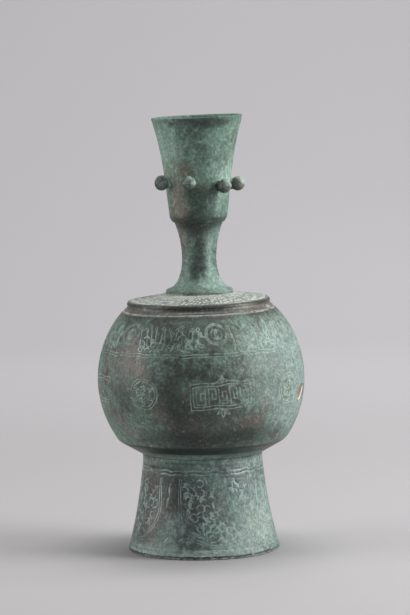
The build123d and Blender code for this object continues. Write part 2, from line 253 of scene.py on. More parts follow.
foot_edge_r = FOOT_BASE_R - FOOT_LIP_PROUD
foot_outside = np.concatenate([
    rows_along([(FOOT_INNER_R, 0), (foot_edge_r, 0), (FOOT_BASE_R, FOOT_LIP_PROUD)], 1.2),
    rows_along(
        [
            (FOOT_BASE_R, FOOT_LIP_PROUD),
            (FOOT_BASE_R, FOOT_LIP - FOOT_LIP_PROUD),
            (foot_edge_r, FOOT_LIP),
        ],
        0.5,
    ),
    rows_along(bowed((foot_edge_r, FOOT_LIP), (FOOT_WAIST_R, FOOT_COLLAR_Z), FOOT_HOLLOW), 0.52),
    rows_along([(FOOT_WAIST_R, FOOT_COLLAR_Z), (FOOT_WAIST_R, FOOT_TOP), (FOOT_BORE_R, FOOT_TOP)], 0.7),
])
foot_inside = np.concatenate([
    rows_along([(FOOT_BORE_R, FOOT_TOP), (FOOT_BORE_R, FOOT_COLLAR_Z)], 1.8),
    rows_along(bowed((FOOT_BORE_R, FOOT_COLLAR_Z), (FOOT_INNER_R, FOOT_LIP), -FOOT_HOLLOW), 2.5),
    rows_along([(FOOT_INNER_R, FOOT_LIP), (FOOT_INNER_R, 0)], 1.2),
])
foot_out = out_of_metal(np.concatenate([foot_outside, foot_inside]))
foot_turn = turns(FOOT_COLUMNS)[None, :]
foot_r = foot_outside[:, :1]
foot_z = foot_outside[:, 1:]


def arc_gap(u, v, middle, radius, opening, share):
    """Distance to an open ring: the ring's own over a share of the round about the opening's far side,
    and far off elsewhere."""
    angle = np.arctan2(v - middle[1], u - middle[0]) - opening
    shut = np.abs(np.mod(angle + math.pi, 2 * math.pi) - math.pi) > math.pi * (1 - share)
    return np.where(shut, ring_gap(u, v, middle, radius), FAR_OFF)


def curl_gaps(u, v, seed, low, high, spacing):
    """Distances to curls strewn by chance between two corners: open rings, half of them with a leaf."""
    draw = np.random.default_rng(seed)
    gaps = []
    for level in np.arange(low[1], high[1], spacing):
        for place in np.arange(low[0], high[0], spacing):
            middle = (place + draw.uniform(-1.6, 1.6), level + draw.uniform(-1.6, 1.6))
            size = draw.uniform(1.1, 2.5)
            opening = draw.uniform(-math.pi, math.pi)
            gaps.append(arc_gap(u, v, middle, size, opening, draw.uniform(0.5, 0.8)))
            if draw.uniform() < 0.5:
                way = opening + draw.uniform(1.2, 2.2)
                root = (middle[0] + size * math.cos(way), middle[1] + size * math.sin(way))
                tip = (root[0] + 3.2 * math.cos(way), root[1] + 3.2 * math.sin(way))
                gaps.append(leaf_gap(u, v, root, tip, draw.uniform(0.4, 0.9)))
    return gaps


def faded(turn, height, seed, least):
    """How much is left of worn cuts, least to 1: broad worn places and short breaks."""
    broad = 0.8 + 0.4 * swell(turn, height, seed, finest=14)
    breaks = 0.9 + 0.4 * swell(turn, height, seed + 1, waves=60, finest=90)
    return np.clip(broad, least, 1) * np.clip(breaks, least, 1)


def foot_cuts(turn, radius, height):
    """Engraving of the foot: two lines under its top, one over its lip, and four panels with a double
    outline, straight above and half an ellipse below. Curls, a scroll, a ring and an open ring fill each
    panel, and a few strokes stand between panels."""
    waver_u = 0.35 * swell(turn, height, 11, finest=30)
    waver_v = 0.35 * swell(turn, height, 12, finest=30)
    side = np.radians(repeated(turn, PANEL_TURN, 90.0))
    flat = side * PANEL_REFERENCE_R + waver_u
    u = side * radius + waver_u
    v = height + waver_v
    lines = groove([np.abs(v - level) for level in FOOT_LINES_Z], FOOT_CUT_WIDTH)
    below = np.minimum(v - PANEL_SPRING_Z, 0)
    gaps = []
    for inset in (0.0, PANEL_LINE_GAP):
        wide, drop = PANEL_HALF_WIDTH - inset, PANEL_DROP - inset
        reach = np.sqrt((flat / wide) ** 2 + (below / drop) ** 2)
        slope = np.sqrt((flat / wide ** 2) ** 2 + (below / drop ** 2) ** 2) + 1e-6
        gaps.append(np.abs(reach - 1) * reach / slope + np.maximum(v - PANEL_TOP_Z, 0))
    outline = groove(gaps, FOOT_CUT_WIDTH)
    wide, drop = PANEL_HALF_WIDTH - PANEL_MARGIN, PANEL_DROP - PANEL_MARGIN
    room = ((flat / wide) ** 2 + (below / drop) ** 2 < 1) & (v < PANEL_TOP_Z)
    curls = curl_gaps(u, v, 15, (-22.0, 9.0), (23.0, 44.0), 3.9)
    curls.append(arc_gap(u, v, (8.6, 37.0), 4.4, -0.6, 0.72))
    curls.append(scroll_gap(u, v, (-13.8, 12.6), 2.9, 1.7))
    curls.append(ring_gap(u, v, (-13.6, 22.4), 2.2))
    curls.append(line_gap(u, v, (-9.0, 8.5), (-3.5, 15.0)))
    inside = groove(curls, FOOT_CUT_WIDTH) * room
    corner = np.radians(repeated(turn, PANEL_TURN + 45.0, 90.0)) * radius + waver_u
    strokes = groove(
        [
            leaf_gap(corner, v, (-1.5, 9.0), (4.0, 15.0), 0.6),
            leaf_gap(corner, v, (0.5, 41.0), (-1.5, 28.0), 0.9),
            arc_gap(corner, v, (0.6, 22.0), 1.9, 0.8, 0.7),
        ],
        FOOT_CUT_WIDTH,
    )
    worn = faded(turn, height, 16, 0.3)
    framing = np.maximum(lines, 0.85 * outline) * np.sqrt(worn)
    return np.maximum(framing, np.maximum(inside, strokes) * worn)


foot_faces_out = foot_out[: len(foot_outside), :1] > 0.5
foot_shown = (foot_z > FOOT_CUT_LOW_Z) & (foot_z < FOOT_CUT_HIGH_Z) & foot_faces_out
foot_cut = foot_cuts(foot_turn, foot_r, foot_z) * foot_shown
foot_chips = np.clip(swell(foot_turn, foot_z, 13, waves=40, finest=44) - 0.5, 0, 1.2)
foot_chips = foot_chips * (foot_z < FOOT_LIP - 0.1) * (foot_r > FOOT_INNER_R + 0.5)
foot_relief = (
    0.12 * swell(foot_turn, foot_z, 14)
    - FOOT_CUT_DEPTH * foot_cut
    - FOOT_CHIP_DEPTH * foot_chips
) * ((foot_z < FOOT_TOP - 0.1) & (foot_z > 0.01))


def foot_marks(turn, radius, height, cut):
    """Where the foot is pale green, brown or black: soft patches, a pale line of dust and painted
    highlight along the lip's top edge, and a ragged dark line round its lip."""
    mint_and_highlight = spots(turn, height, radius, (
        (68, 22, 15, 22, 0.65),
        (36, 20, 12, 12, 0.3),
        (0, 50.8, 400, 2.6, 0.45),
        (24, 8, 16, 6, 0.5),
        (-29, 19, 8, 13, 0.5),
        (52, 13, 10, 8, 0.5),
        (-50, 5, 22, 3.4, 0.6),
        # Along the lip's top edge, here and at 14 degrees: dust and a painted highlight.
        (-44, 2.6, 30, 0.7, 1.0),
        (0, 0.6, 400, 0.5, 0.55),
        (14, 2.6, 24, 0.6, 0.8),
        (-54, 46.6, 8, 0.9, 0.7),
        (8, 4.2, 20, 1.6, 0.5),
        (150, 20, 26, 22, 0.5),
        (235, 26, 20, 16, 0.4),
    ))
    brown = spots(turn, height, radius, (
        (-38, 26, 13, 20, 0.7),
        (26, 20, 7, 9, 0.35),
        (-62, 40, 12, 10, 0.5),
        (200, 30, 18, 12, 0.5),
        (-30, 1.2, 26, 1.4, 0.3),
        (0, 0.3, 400, 0.7, 0.9),
    ))
    ragged = 0.45 * swell(turn, 0 * height, 18, waves=30, finest=90)
    off_dark_line = np.abs(height - LIP_DARK_LINE_Z - ragged) / LIP_DARK_LINE_HALF
    lip_dark_line = np.clip(1.3 - off_dark_line, 0, 1) * (height < FOOT_LIP)
    soot_and_shade = 0.95 * lip_dark_line + spots(turn, height, radius, (
        (-16, 32, 14, 18, 0.4),
        (-46, 34, 16, 17, 0.65),
        (-33, 46, 9, 7, 0.45),
        (-46, 48.6, 12, 1.0, 0.7),
        (18, 50.2, 16, 0.9, 0.6),
        (-14, 51.6, 18, 0.7, 0.5),
        (0, 26, 9, 14, 0.2),
        (115, 30, 12, 14, 0.3),
        (-120, 15, 20, 14, 0.3),
        (0, 0.0, 400, 0.3, 0.6),
        (46, 1.4, 16, 0.6, 0.5),
        (20, 46.6, 26, 0.9, 0.35),
    ))
    return joined(cut, mint_and_highlight, brown, soot_and_shade)


foot_turn_in = turns(FOOT_COLUMNS_INSIDE)[None, :]
engraved_foot = turned_skin(
    "engraved_foot",
    [
        band(foot_outside, foot_out[: len(foot_outside)], FOOT_COLUMNS, foot_relief),
        band(foot_inside, foot_out[len(foot_outside):], FOOT_COLUMNS_INSIDE),
    ],
    [
        foot_marks(foot_turn, foot_r, foot_z, foot_cut),
        foot_marks(foot_turn_in, foot_inside[:, :1], foot_inside[:, 1:], 0.0),
    ],
)


def shade(red, green, blue):
    """Linear colour of a shade given in steps of 0 to 255 as a screen shows it."""
    steps = np.array([red, green, blue]) / 255.0
    linear = np.where(steps <= 0.04045, steps / 12.92, ((steps + 0.055) / 1.055) ** 2.4)
    return (*[float(value) for value in linear], 1.0)


class Wire:
    """One socket of a finish. Sums, differences and products of it add Math nodes."""

    def __init__(self, tree, socket):
        self.tree = tree
        self.socket = socket

    def node(self, kind, settings, inputs, output=0):
        """Adds a node of this kind with its settings, then the values or links of its sockets."""
        made = self.tree.nodes.new(kind)
        for name, value in settings.items():
            setattr(made, name, value)
        for key, value in inputs.items():
            if isinstance(value, Wire):
                self.tree.links.new(value.socket, made.inputs[key])
            else:
                made.inputs[key].default_value = value
        return Wire(self.tree, made.outputs[output])

    def maths(self, operation, first, second):
        """Adds a Math node on two values."""
        return self.node("ShaderNodeMath", {"operation": operation}, {0: first, 1: second})

    def __add__(self, other):
        return self.maths("ADD", self, other)

    def __sub__(self, other):
        return self.maths("SUBTRACT", self, other)

    def __rsub__(self, other):
        return self.maths("SUBTRACT", other, self)

    def __mul__(self, other):
        return self.maths("MULTIPLY", self, other)

    __radd__ = __add__
    __rmul__ = __mul__

    def between(self, low, high):
        """0 below low, 1 above high and a smooth step from one to the other."""
        return self.node(
            "ShaderNodeMapRange",
            {"interpolation_type": "SMOOTHSTEP"},
            {"Value": self, "From Min": low, "From Max": high},
        )

    def tint(self, under, over):
        """Colour that goes from under to over as this value goes from 0 to 1."""
        return self.node("ShaderNodeMix", {"data_type": "RGBA"}, {0: self, 6: under, 7: over}, 2)

    def dimmed(self, colour):
        """Colour made lighter or darker: each of its parts times this value."""
        inputs = {"Vector": colour, "Scale": self}
        return self.node("ShaderNodeVectorMath", {"operation": "SCALE"}, inputs)

    def grain(self, size, detail, rough, twist=0.0):
        """Cloudy noise on this place, with grains about size mm across."""
        return self.node(
            "ShaderNodeTexNoise",
            {},
            {
                "Vector": self,
                "Scale": 1000.0 / size,
                "Detail": detail,
                "Roughness": rough,
                "Distortion": twist,
            },
        )

    def bump(self, strength, depth):
        """Normal of a surface that this value raises by up to depth metres."""
        inputs = {"Strength": strength, "Distance": depth, "Height": self}
        return self.node("ShaderNodeBump", {}, inputs)

    def mark(self, name):
        """Value that the mesh carries under this name."""
        return self.node("ShaderNodeAttribute", {"attribute_name": name}, {}, "Fac")


def finish_on(piece_or_node, material):
    """Puts one finish on a piece, or on every slot that a node of the frame has."""
    if piece_or_node.material_slots:
        for place in piece_or_node.material_slots:
            place.material = material
    else:
        piece_or_node.data.materials.append(material)


def bare_finish(name):
    """New finish with only its shader and output. Gives the material, the shader and a wire of the
    object's own coordinates."""
    material = bpy.data.materials.new(name)
    material.use_nodes = True
    tree = material.node_tree
    tree.nodes.clear()
    shader = tree.nodes.new("ShaderNodeBsdfPrincipled")
    output = tree.nodes.new("ShaderNodeOutputMaterial")
    tree.links.new(shader.outputs[0], output.inputs[0])
    place = Wire(tree, tree.nodes.new("ShaderNodeTexCoord").outputs["Object"])
    return material, shader, place


def feed(shader, **inputs):
    """Links values or wires to the shader's sockets. A socket's name has underscores for spaces."""
    for name, value in inputs.items():
        socket = shader.inputs[name.replace("_", " ")]
        if isinstance(value, Wire):
            value.tree.links.new(value.socket, socket)
        else:
            socket.default_value = value


def patina(name, ground, green, pale, brown, line=shade(164, 188, 176), green_bias=0.0, cloud=14.0):
    """Old bronze, as tints laid over each other: dark ground, clouds of green, brown places, a pale
    film, black, a pale crust, freckles, dark pits and pale filled cuts. Each tint's share is a smooth
    step of noise, shifted by the marks. The pale film also carries painted highlights, and the black
    painted shade, where the marks hold them."""
    material, shader, place = bare_finish(name)
    cut = place.mark("cut")
    mint_and_highlight = place.mark("mint_and_highlight")
    warm = place.mark("brown")
    soot_and_shade = place.mark("soot_and_shade")
    wide = place.grain(cloud * 2.0, 3.0, 0.55, 0.5)
    middle = place.grain(cloud * 0.6, 4.0, 0.6, 0.4)
    mottle = place.grain(3.8, 3.0, 0.6, 0.3)
    fine = place.grain(1.7, 3.0, 0.6)
    clouds = 0.42 * wide + 0.34 * middle + 0.24 * mottle
    green_share = (clouds + 0.14 * mint_and_highlight - 0.06 * soot_and_shade + green_bias).between(0.4, 0.6)
    colour = green_share.tint(ground, green)
    other = (place.grain(cloud * 1.4, 3.0, 0.55, 0.6) + 0.3 * warm + 0.12 * mottle).between(0.56, 0.86)
    colour = (other * 0.85).tint(colour, brown)
    film_and_highlight = (0.75 * mint_and_highlight + 0.4 * middle + 0.4 * mottle - 0.3 * soot_and_shade - 0.37).between(0.05, 0.75)
    colour = (film_and_highlight * 0.62).tint(colour, pale)
    black = (soot_and_shade * 0.8 + 0.3 * middle + 0.4 * mottle - 0.35).between(0.15, 0.85)
    colour = (black * 0.7).tint(colour, shade(22, 36, 28))
    crust = (0.5 * fine + 0.5 * mottle + 0.05 * mint_and_highlight - 0.05 * soot_and_shade).between(0.5, 0.68)
    colour = (crust * 0.24).tint(colour, pale)
    freckle = (0.7 * fine + 0.3 * mottle).between(0.34, 0.66)
    speck = place.grain(0.9, 2.0, 0.6).between(0.34, 0.66)
    colour = ((0.74 + 0.52 * freckle) * (0.84 + 0.32 * speck)).dimmed(colour)
    pits = (0.6 * place.grain(1.1, 2.0, 0.6, 0.3) + 0.4 * middle).between(0.56, 0.66)
    colour = (pits * 0.3).tint(colour, shade(38, 42, 40))
    filled = cut.between(0.2, 0.9) * (0.5 * fine + 0.5 * mottle).between(0.26, 0.5)
    colour = (filled * 0.75).tint(colour, line)
    rough = 0.38 + 0.14 * green_share + 0.22 * film_and_highlight
    metal = (1 - film_and_highlight) * (1 - green_share) * 0.3
    height = 0.6 * fine + 0.5 * mottle + 0.6 * middle - 0.5 * pits + 0.25 * crust
    feed(shader, Base_Color=colour, Roughness=rough, Metallic=metal, Normal=height.bump(0.5, 0.0004))
    return material


foot_bronze = patina(
    "foot_bronze",
    ground=shade(88, 94, 95),
    green=shade(100, 124, 117),
    pale=shade(170, 187, 179),
    brown=shade(99, 95, 91),
    line=shade(168, 191, 184),
)
finish_on(engraved_foot, foot_bronze)
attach(engraved_foot, "root")
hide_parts("foot")

# Solder films
# Soft solder run into the four joints between foot, belly, shoulder plate, neck and cup.
# The bead at the shoulder plate and the wedge under the neck are pale and chalky, the other two dark.


def solder_finish(name, dark, pale):
    """Old solder: cloudy between a dark and a pale tone, duller where pale."""
    material, shader, place = bare_finish(name)
    fine = place.grain(0.9, 2.0, 0.6)
    chalk = (0.6 * place.grain(5.0, 4.0, 0.6) + 0.4 * fine).between(0.4, 0.6)
    feed(
        shader,
        Base_Color=chalk.tint(dark, pale),
        Roughness=0.6 + 0.2 * chalk,
        Metallic=(1 - chalk) * 0.3,
        Normal=fine.bump(0.6, 0.0003),
    )
    return material


solder_chalky = solder_finish("solder_chalky", shade(110, 110, 102), shade(172, 174, 164))
solder_dark = solder_finish("solder_dark", shade(46, 48, 46), shade(86, 92, 86))
for joint in ("shoulder_solder", "neck_solder"):
    finish_on(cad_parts[joint], solder_chalky)
for joint in ("foot_solder", "cup_solder"):
    finish_on(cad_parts[joint], solder_dark)

# Belly
# A globular pot of cast bronze with an even wall, engraved with a frieze under its mouth and, round its
# widest place, four framed frets and four rosettes. A low ring below centres it in the foot.
BELLY_R = 57.2
BELLY_BASE_Z = 54.1
BELLY_WIDE_Z = 95.0
BELLY_TOP_Z = 133.172
BELLY_BASE_R = 33.5
BELLY_MOUTH_R = 42.6
BELLY_BORE_R = 39.04
MOUTH_TILT = 1.0
BELLY_WALL = 2.6
BELLY_HIP = 35.97
BELLY_HIP_ROUND = 8.0
BELLY_HUB_R = 5.0
BELLY_TIP_LOW_Z = 98.0
BELLY_TIP_HIGH_Z = 116.0
BASE_RING_R = 30.6
BASE_RING_WALL = 2.4
BASE_RING_DEPTH = 3.0
BELLY_COLUMNS = 720
BELLY_COLUMNS_PLAIN = 180
BELLY_CUT_DEPTH = 0.2
BELLY_CUT_WIDTH = 0.68
BELLY_CUT_ZONES = (-16.0, 9.0, 17.0, 37.6)
FRET_TURN = 12.0
FRET_Z = 92.0
FRET_HALF_WIDTH = 17.8
FRET_HALF_HEIGHT = 7.2
FRET_TILT = 3.2
FRET_LINE_GAP = 1.7
FRET_KEY_PITCH = 6.1
ROSETTE_TURN = -33.5
ROSETTE_Z = 92.5
ROSETTE_R = 8.6
FRIEZE_Z = 124.2
FRIEZE_LOW_Z = 114.2
FRIEZE_LINE_GAP = 1.5
FRIEZE_HALF_HEIGHT = 9.5
FRIEZE_TURN = 11.0
POCKET_TURN = 75.5
POCKET_Z = 88.0
POCKET_HALF_WIDTH = 6.7
POCKET_HALF_HEIGHT = 4.6
POCKET_DEPTH = 1.75
UNDER_LOW_Z = 57.0
UNDER_HIGH_Z = 62.6


def belly_arc(radius, low, high, step):
    """Rows on the belly's round, from one angle above the widest place to another."""
    count = max(2, int(abs(high - low) * math.pi / 180 * radius / step) + 1)
    angle = np.radians(np.linspace(low, high, count))
    return np.stack([radius * np.cos(angle), BELLY_WIDE_Z + radius * np.sin(angle)], axis=1)


def tangent_arc(start, end, way, count):
    """Arc from start to end that leaves start along way: its middle lies square to way, equally far
    from both ends."""
    start, end = np.array(start, float), np.array(end, float)
    way = np.array(way, float) / np.hypot(way[0], way[1])
    square = np.array([-way[1], way[0]])
    chord = end - start
    radius = chord @ chord / (2 * chord @ square)
    middle = start + radius * square
    first = math.atan2(*(start - middle)[::-1])
    sweep = 2 * math.atan2(way[0] * chord[1] - way[1] * chord[0], way @ chord)
    angle = first + np.linspace(0, sweep, count)
    return middle + abs(radius) * np.stack([np.cos(angle), np.sin(angle)], axis=1)


def rounded_hip(count):
    """Rows of the round between underside and side: its middle lies inside both by its radius.
    Gives the rows, lowest first, and the angle of the last one below the widest place in degrees."""
    base = np.array([BELLY_BASE_R, BELLY_BASE_Z])
    centre = np.array([0.0, BELLY_WIDE_Z])
    hip = math.radians(BELLY_HIP)
    corner = np.array([BELLY_R * math.cos(hip), BELLY_WIDE_Z - BELLY_R * math.sin(hip)])
    way = (corner - base) / np.hypot(*(corner - base))
    inward = np.array([-way[1], way[0]])
    start = base + BELLY_HIP_ROUND * inward - centre
    back = start @ way
    along = math.sqrt(back ** 2 - start @ start + (BELLY_R - BELLY_HIP_ROUND) ** 2) - back
    middle = base + BELLY_HIP_ROUND * inward + along * way
    out = (middle - centre) / np.hypot(*(middle - centre))
    angle = np.linspace(math.atan2(-inward[1], -inward[0]), math.atan2(out[1], out[0]), count)
    rows = middle + BELLY_HIP_ROUND * np.stack([np.cos(angle), np.sin(angle)], axis=1)
    return rows, math.degrees(-math.atan2(out[1], out[0]))


hip_rows, side_low = rounded_hip(9)
inner_r = BELLY_R - BELLY_WALL
mouth_angle = math.degrees(math.acos(BELLY_MOUTH_R / BELLY_R))
bore_angle = math.degrees(math.acos(BELLY_BORE_R / inner_r))
ring_low = BELLY_BASE_Z - BASE_RING_DEPTH
ring_in = BASE_RING_R - BASE_RING_WALL
belly_below = np.concatenate([
    rows_along(
        [
            (BELLY_HUB_R, BELLY_BASE_Z),
            (ring_in, BELLY_BASE_Z),
            (ring_in, ring_low),
            (BASE_RING_R, ring_low),
            (BASE_RING_R, BELLY_BASE_Z),
            (BELLY_BASE_R, BELLY_BASE_Z),
        ],
        5.0,
    ),
    rows_along([(BELLY_BASE_R, BELLY_BASE_Z), hip_rows[0]], 1.2),
    hip_rows[:-1],
])
# Rows lie closest where the frets, the rosettes and the frieze are cut.
zone_ends = (-side_low, *BELLY_CUT_ZONES, mouth_angle)
zone_steps = (1.2, 0.5, 1.2, 0.5, 0.9)
belly_arcs = [belly_arc(BELLY_R, *zone) for zone in zip(zone_ends[:-1], zone_ends[1:], zone_steps)]
belly_outside = np.concatenate([arc[:-1] for arc in belly_arcs] + [belly_arcs[-1][-1:]])
floor_z = BELLY_BASE_Z + BELLY_WALL
belly_inside = np.concatenate([
    rows_along([(BELLY_MOUTH_R - 0.3, BELLY_TOP_Z), (BELLY_BORE_R, BELLY_TOP_Z)], 1.8),
    belly_arc(inner_r, bore_angle, -BELLY_HIP, 6.0),
    rows_along([(BELLY_BASE_R, floor_z), (BELLY_HUB_R, floor_z)], 6.0),
])
belly_out = out_of_metal(np.concatenate([belly_below, belly_outside, belly_inside]), ring=False)
belly_turn = turns(BELLY_COLUMNS)[None, :]
belly_r = belly_outside[:, :1]
belly_z = belly_outside[:, 1:]


def on_belly(height):
    """Distance up the belly's round from its widest place to a height."""
    return BELLY_R * np.arcsin(np.clip((height - BELLY_WIDE_Z) / BELLY_R, -1, 1))


def fret_gaps(u, v):
    """Distances to a framed fret, tilted a little: a double frame, five hooked keys turned up and down
    by turns, and leaf finials."""
    tilt = math.radians(FRET_TILT)
    u, v = u * math.cos(tilt) + v * math.sin(tilt), v * math.cos(tilt) - u * math.sin(tilt)
    gaps = []
    for inset in (0.0, FRET_LINE_GAP):
        wide, tall = FRET_HALF_WIDTH - inset, FRET_HALF_HEIGHT - inset
        side = np.maximum(np.abs(u) - wide, np.abs(v) - tall)
        corner = np.hypot(np.maximum(np.abs(u) - wide, 0), np.maximum(np.abs(v) - tall, 0))
        gaps.append(np.where(side > 0, corner, -side))
    key = ((-2.2, -4.2), (-2.2, 4.2), (2.0, 4.2), (2.0, -1.9), (-0.2, -1.9), (-0.2, 1.6))
    for number in range(5):
        flip = 1 if number % 2 else -1
        local_u = u - (number - 2) * FRET_KEY_PITCH
        for start, end in zip(key[:-1], key[1:]):
            gaps.append(line_gap(local_u, flip * v, start, end))
    mirror = np.abs(u)
    below = -FRET_HALF_HEIGHT
    gaps.append(leaf_gap(mirror, v, (0, below), (0, below - 5.0), 1.7))
    gaps.append(leaf_gap(mirror, v, (0, below), (3.6, below - 3.2), 1.2))
    gaps.append(leaf_gap(mirror, v, (0, FRET_HALF_HEIGHT), (0, FRET_HALF_HEIGHT + 3.6), 1.5))
    gaps.append(line_gap(mirror, v, (4.2, FRET_HALF_HEIGHT), (0, FRET_HALF_HEIGHT + 2.2)))
    return gaps


def rosette_gaps(u, v, size):
    """Distances to a rosette: two rings, and six loops between its middle and the inner ring."""
    away = np.hypot(u, v)
    gaps = [np.abs(away - size), np.abs(away - 0.83 * size)]
    petal = np.radians(repeated(np.degrees(np.arctan2(v, u)), 30.0, 60.0))
    petal_u, petal_v = away * np.cos(petal), away * np.sin(petal)
    inside = np.maximum(away - 0.83 * size, 0) * 3
    gaps.append(leaf_gap(petal_u, np.abs(petal_v), (0, 0), (0.8 * size, 0), 0.26 * size) + inside)
    gaps.append(ring_gap(petal_u, petal_v, (0.42 * size, 0), 0.11 * size))
    gaps.append(np.abs(away - 0.5 * size))
    return gaps


def frieze_gaps(turn, radius, v):
    """Distances to the frieze: six ringed roundels, and between them reeds set by chance, each with a
    leaf for a head and most with a hooked root, over loose curls."""
    u = np.radians(repeated(turn, FRIEZE_TURN, 60.0)) * radius
    gaps = [ring_gap(u, v, (0, 0), size) for size in (6.4, 5.4, 3.0)]
    gaps.append(leaf_gap(np.abs(u), v, (0.4, -3.0), (0.4, 3.0), 1.2))
    u = np.radians(repeated(turn, FRIEZE_TURN + 30.0, 60.0)) * radius
    draw = np.random.default_rng(25)
    for place in np.arange(-17.0, 18.0, 3.0):
        place = place + draw.uniform(-0.7, 0.7)
        low, high = draw.uniform(-6.5, -2.0), draw.uniform(1.6, 4.2)
        lean = draw.uniform(-1.2, 1.2)
        gaps.append(line_gap(u, v, (place, low), (place + lean, high)))
        gaps.append(leaf_gap(u, v, (place + lean, high), (place + 2 * lean, high + 2.6), 1.3))
        if draw.uniform() < 0.7:
            side = draw.choice([-1, 1])
            gaps.append(arc_gap(u, v, (place + 1.5 * side, low), 1.5, math.pi / 2, 0.55))
    return gaps + curl_gaps(u, v, 26, (-17.0, -8.0), (18.0, -1.0), 4.2)


def belly_cuts(turn, radius, height):
    """Engraving of the belly: frieze with double lines below, framed frets and rosettes."""
    waver_u = 0.3 * swell(turn, height, 21, finest=34)
    waver_v = 0.3 * swell(turn, height, 22, finest=34)
    path = on_belly(height) + waver_v
    levels = (FRIEZE_LOW_Z, FRIEZE_LOW_Z - FRIEZE_LINE_GAP)
    depth = groove([np.abs(path - on_belly(level)) for level in levels], BELLY_CUT_WIDTH)
    places = (
        (FRET_TURN, FRET_Z, 21.0, 14.0, fret_gaps),
        (ROSETTE_TURN, ROSETTE_Z, 10.0, 10.0, lambda u, v: rosette_gaps(u, v, ROSETTE_R)),
    )
    for middle, level, reach_u, reach_v, gaps_of in places:
        u = np.radians(repeated(turn, middle, 90.0)) * radius + waver_u
        v = path - on_belly(level)
        near = (np.abs(u) < reach_u) & (np.abs(v) < reach_v)
        depth[near] = np.maximum(depth[near], groove(gaps_of(u[near], v[near]), BELLY_CUT_WIDTH))
    v = path - on_belly(FRIEZE_Z)
    rows = np.abs(v).min(axis=1) < FRIEZE_HALF_HEIGHT
    part = groove(frieze_gaps(turn + waver_u[rows], radius[rows], v[rows]), BELLY_CUT_WIDTH)
    depth[rows] = np.maximum(depth[rows], part)
    return depth * faded(turn, height, 27, 0.72)


def tipped(points, low, high):
    """Turns points about the belly's middle: not at all below low, by the mouth's whole tilt above high,
    and by a smooth step of it between."""
    share = np.clip((points[..., 2] - low) / (high - low), 0, 1)
    angle = np.radians(MOUTH_TILT) * share * share * (3 - 2 * share)
    across, up = points[..., 0].copy(), points[..., 2] - BELLY_WIDE_Z
    points[..., 0] = across * np.cos(angle) - up * np.sin(angle)
    points[..., 2] = BELLY_WIDE_Z + across * np.sin(angle) + up * np.cos(angle)
    return points


pocket_tilt = math.asin((POCKET_Z - BELLY_WIDE_Z) / BELLY_R)
belly_around_pocket = np.radians(repeated(belly_turn, POCKET_TURN, 360.0)) * belly_r
belly_up_pocket = on_belly(belly_z) - BELLY_R * pocket_tilt
belly_from_pocket = np.hypot(
    belly_around_pocket / POCKET_HALF_WIDTH, belly_up_pocket / POCKET_HALF_HEIGHT
)
belly_pocket = np.clip((1.06 - belly_from_pocket) / 0.12, 0, 1)
belly_cut = belly_cuts(belly_turn, belly_r, belly_z) * (1 - belly_pocket)
belly_shown = np.clip((BELLY_TOP_Z - belly_z) / 2.0, 0, 1) * (1 - belly_pocket)
belly_relief = 0.16 * swell(belly_turn, belly_z, 23) - BELLY_CUT_DEPTH * belly_cut
belly_relief = belly_relief * belly_shown - POCKET_DEPTH * belly_pocket


def belly_marks(turn, radius, height, cut):
    """Where the belly is pale green, brown or black: soft patches, a band of painted shade on the
    underside over the foot, and a thin ring of painted shade just under the plate.
    """
    mint_and_highlight = spots(turn, height, radius, (
        (68, 102, 25, 28, 0.85),
        (62, 79, 18, 12, 0.7),
        (22, 88, 8, 6, 0.3),
        (2, 77, 17, 8, 0.3),
        (-46, 68, 14, 7, 0.45),
        (-24, 111, 9, 6, 0.35),
        (38, 118, 18, 11, 0.4),
        (-3, 86, 9, 6, 0.3),
        (24, 104, 10, 9, 0.3),
        (38, 90, 11, 7, 0.4),
        (-66, 120, 16, 12, 0.25),
        (140, 100, 34, 30, 0.4),
        (-120, 110, 30, 18, 0.35),
        (0, 54.6, 400, 2.4, 0.55),
    ))
    # Painted shade: a dark band on the underside over the foot.
    under = np.clip((height - UNDER_LOW_Z) / 0.9, 0, 1) * np.clip((UNDER_HIGH_Z - height) / 1.4, 0, 1)
    brown = 0.2 * under + spots(turn, height, radius, (
        (32, 75, 9, 7, 0.9),
        (26, 104, 9, 4, 0.5),
        (-36, 106, 12, 7, 0.6),
        (-62, 94, 14, 18, 0.9),
        (-46, 116, 14, 10, 0.5),
        (-24, 80, 7, 7, 0.3),
        (175, 88, 26, 16, 0.5),
    ))
    soot_and_shade = 0.95 * under + spots(turn, height, radius, (
        (2, 104, 11, 6, 0.5),
        (0, 83, 18, 9, 0.7),
        (-50, 92, 14, 8, 0.4),
        (8, 130, 14, 5, 0.4),
        (-36, 121, 7, 6, 0.35),
        (-16, 122, 15, 8, 0.45),
        (9, 123, 11, 8, 0.4),
        (-16, 92, 8, 16, 0.5),
        (-36, 102, 18, 24, 0.32),
        (-14, 76, 12, 8, 0.3),
        (28, 77, 9, 6, 0.3),
        (0, 67, 44, 6, 0.75),
        (56.5, 92.5, 8, 8, 0.75),
        (34, 70, 26, 6, 0.3),
        (-150, 84, 24, 20, 0.3),
        # painted shade just under the plate
        (0, 132.6, 400, 1.2, 0.5),
    ))
    return joined(cut, mint_and_highlight, brown, soot_and_shade)


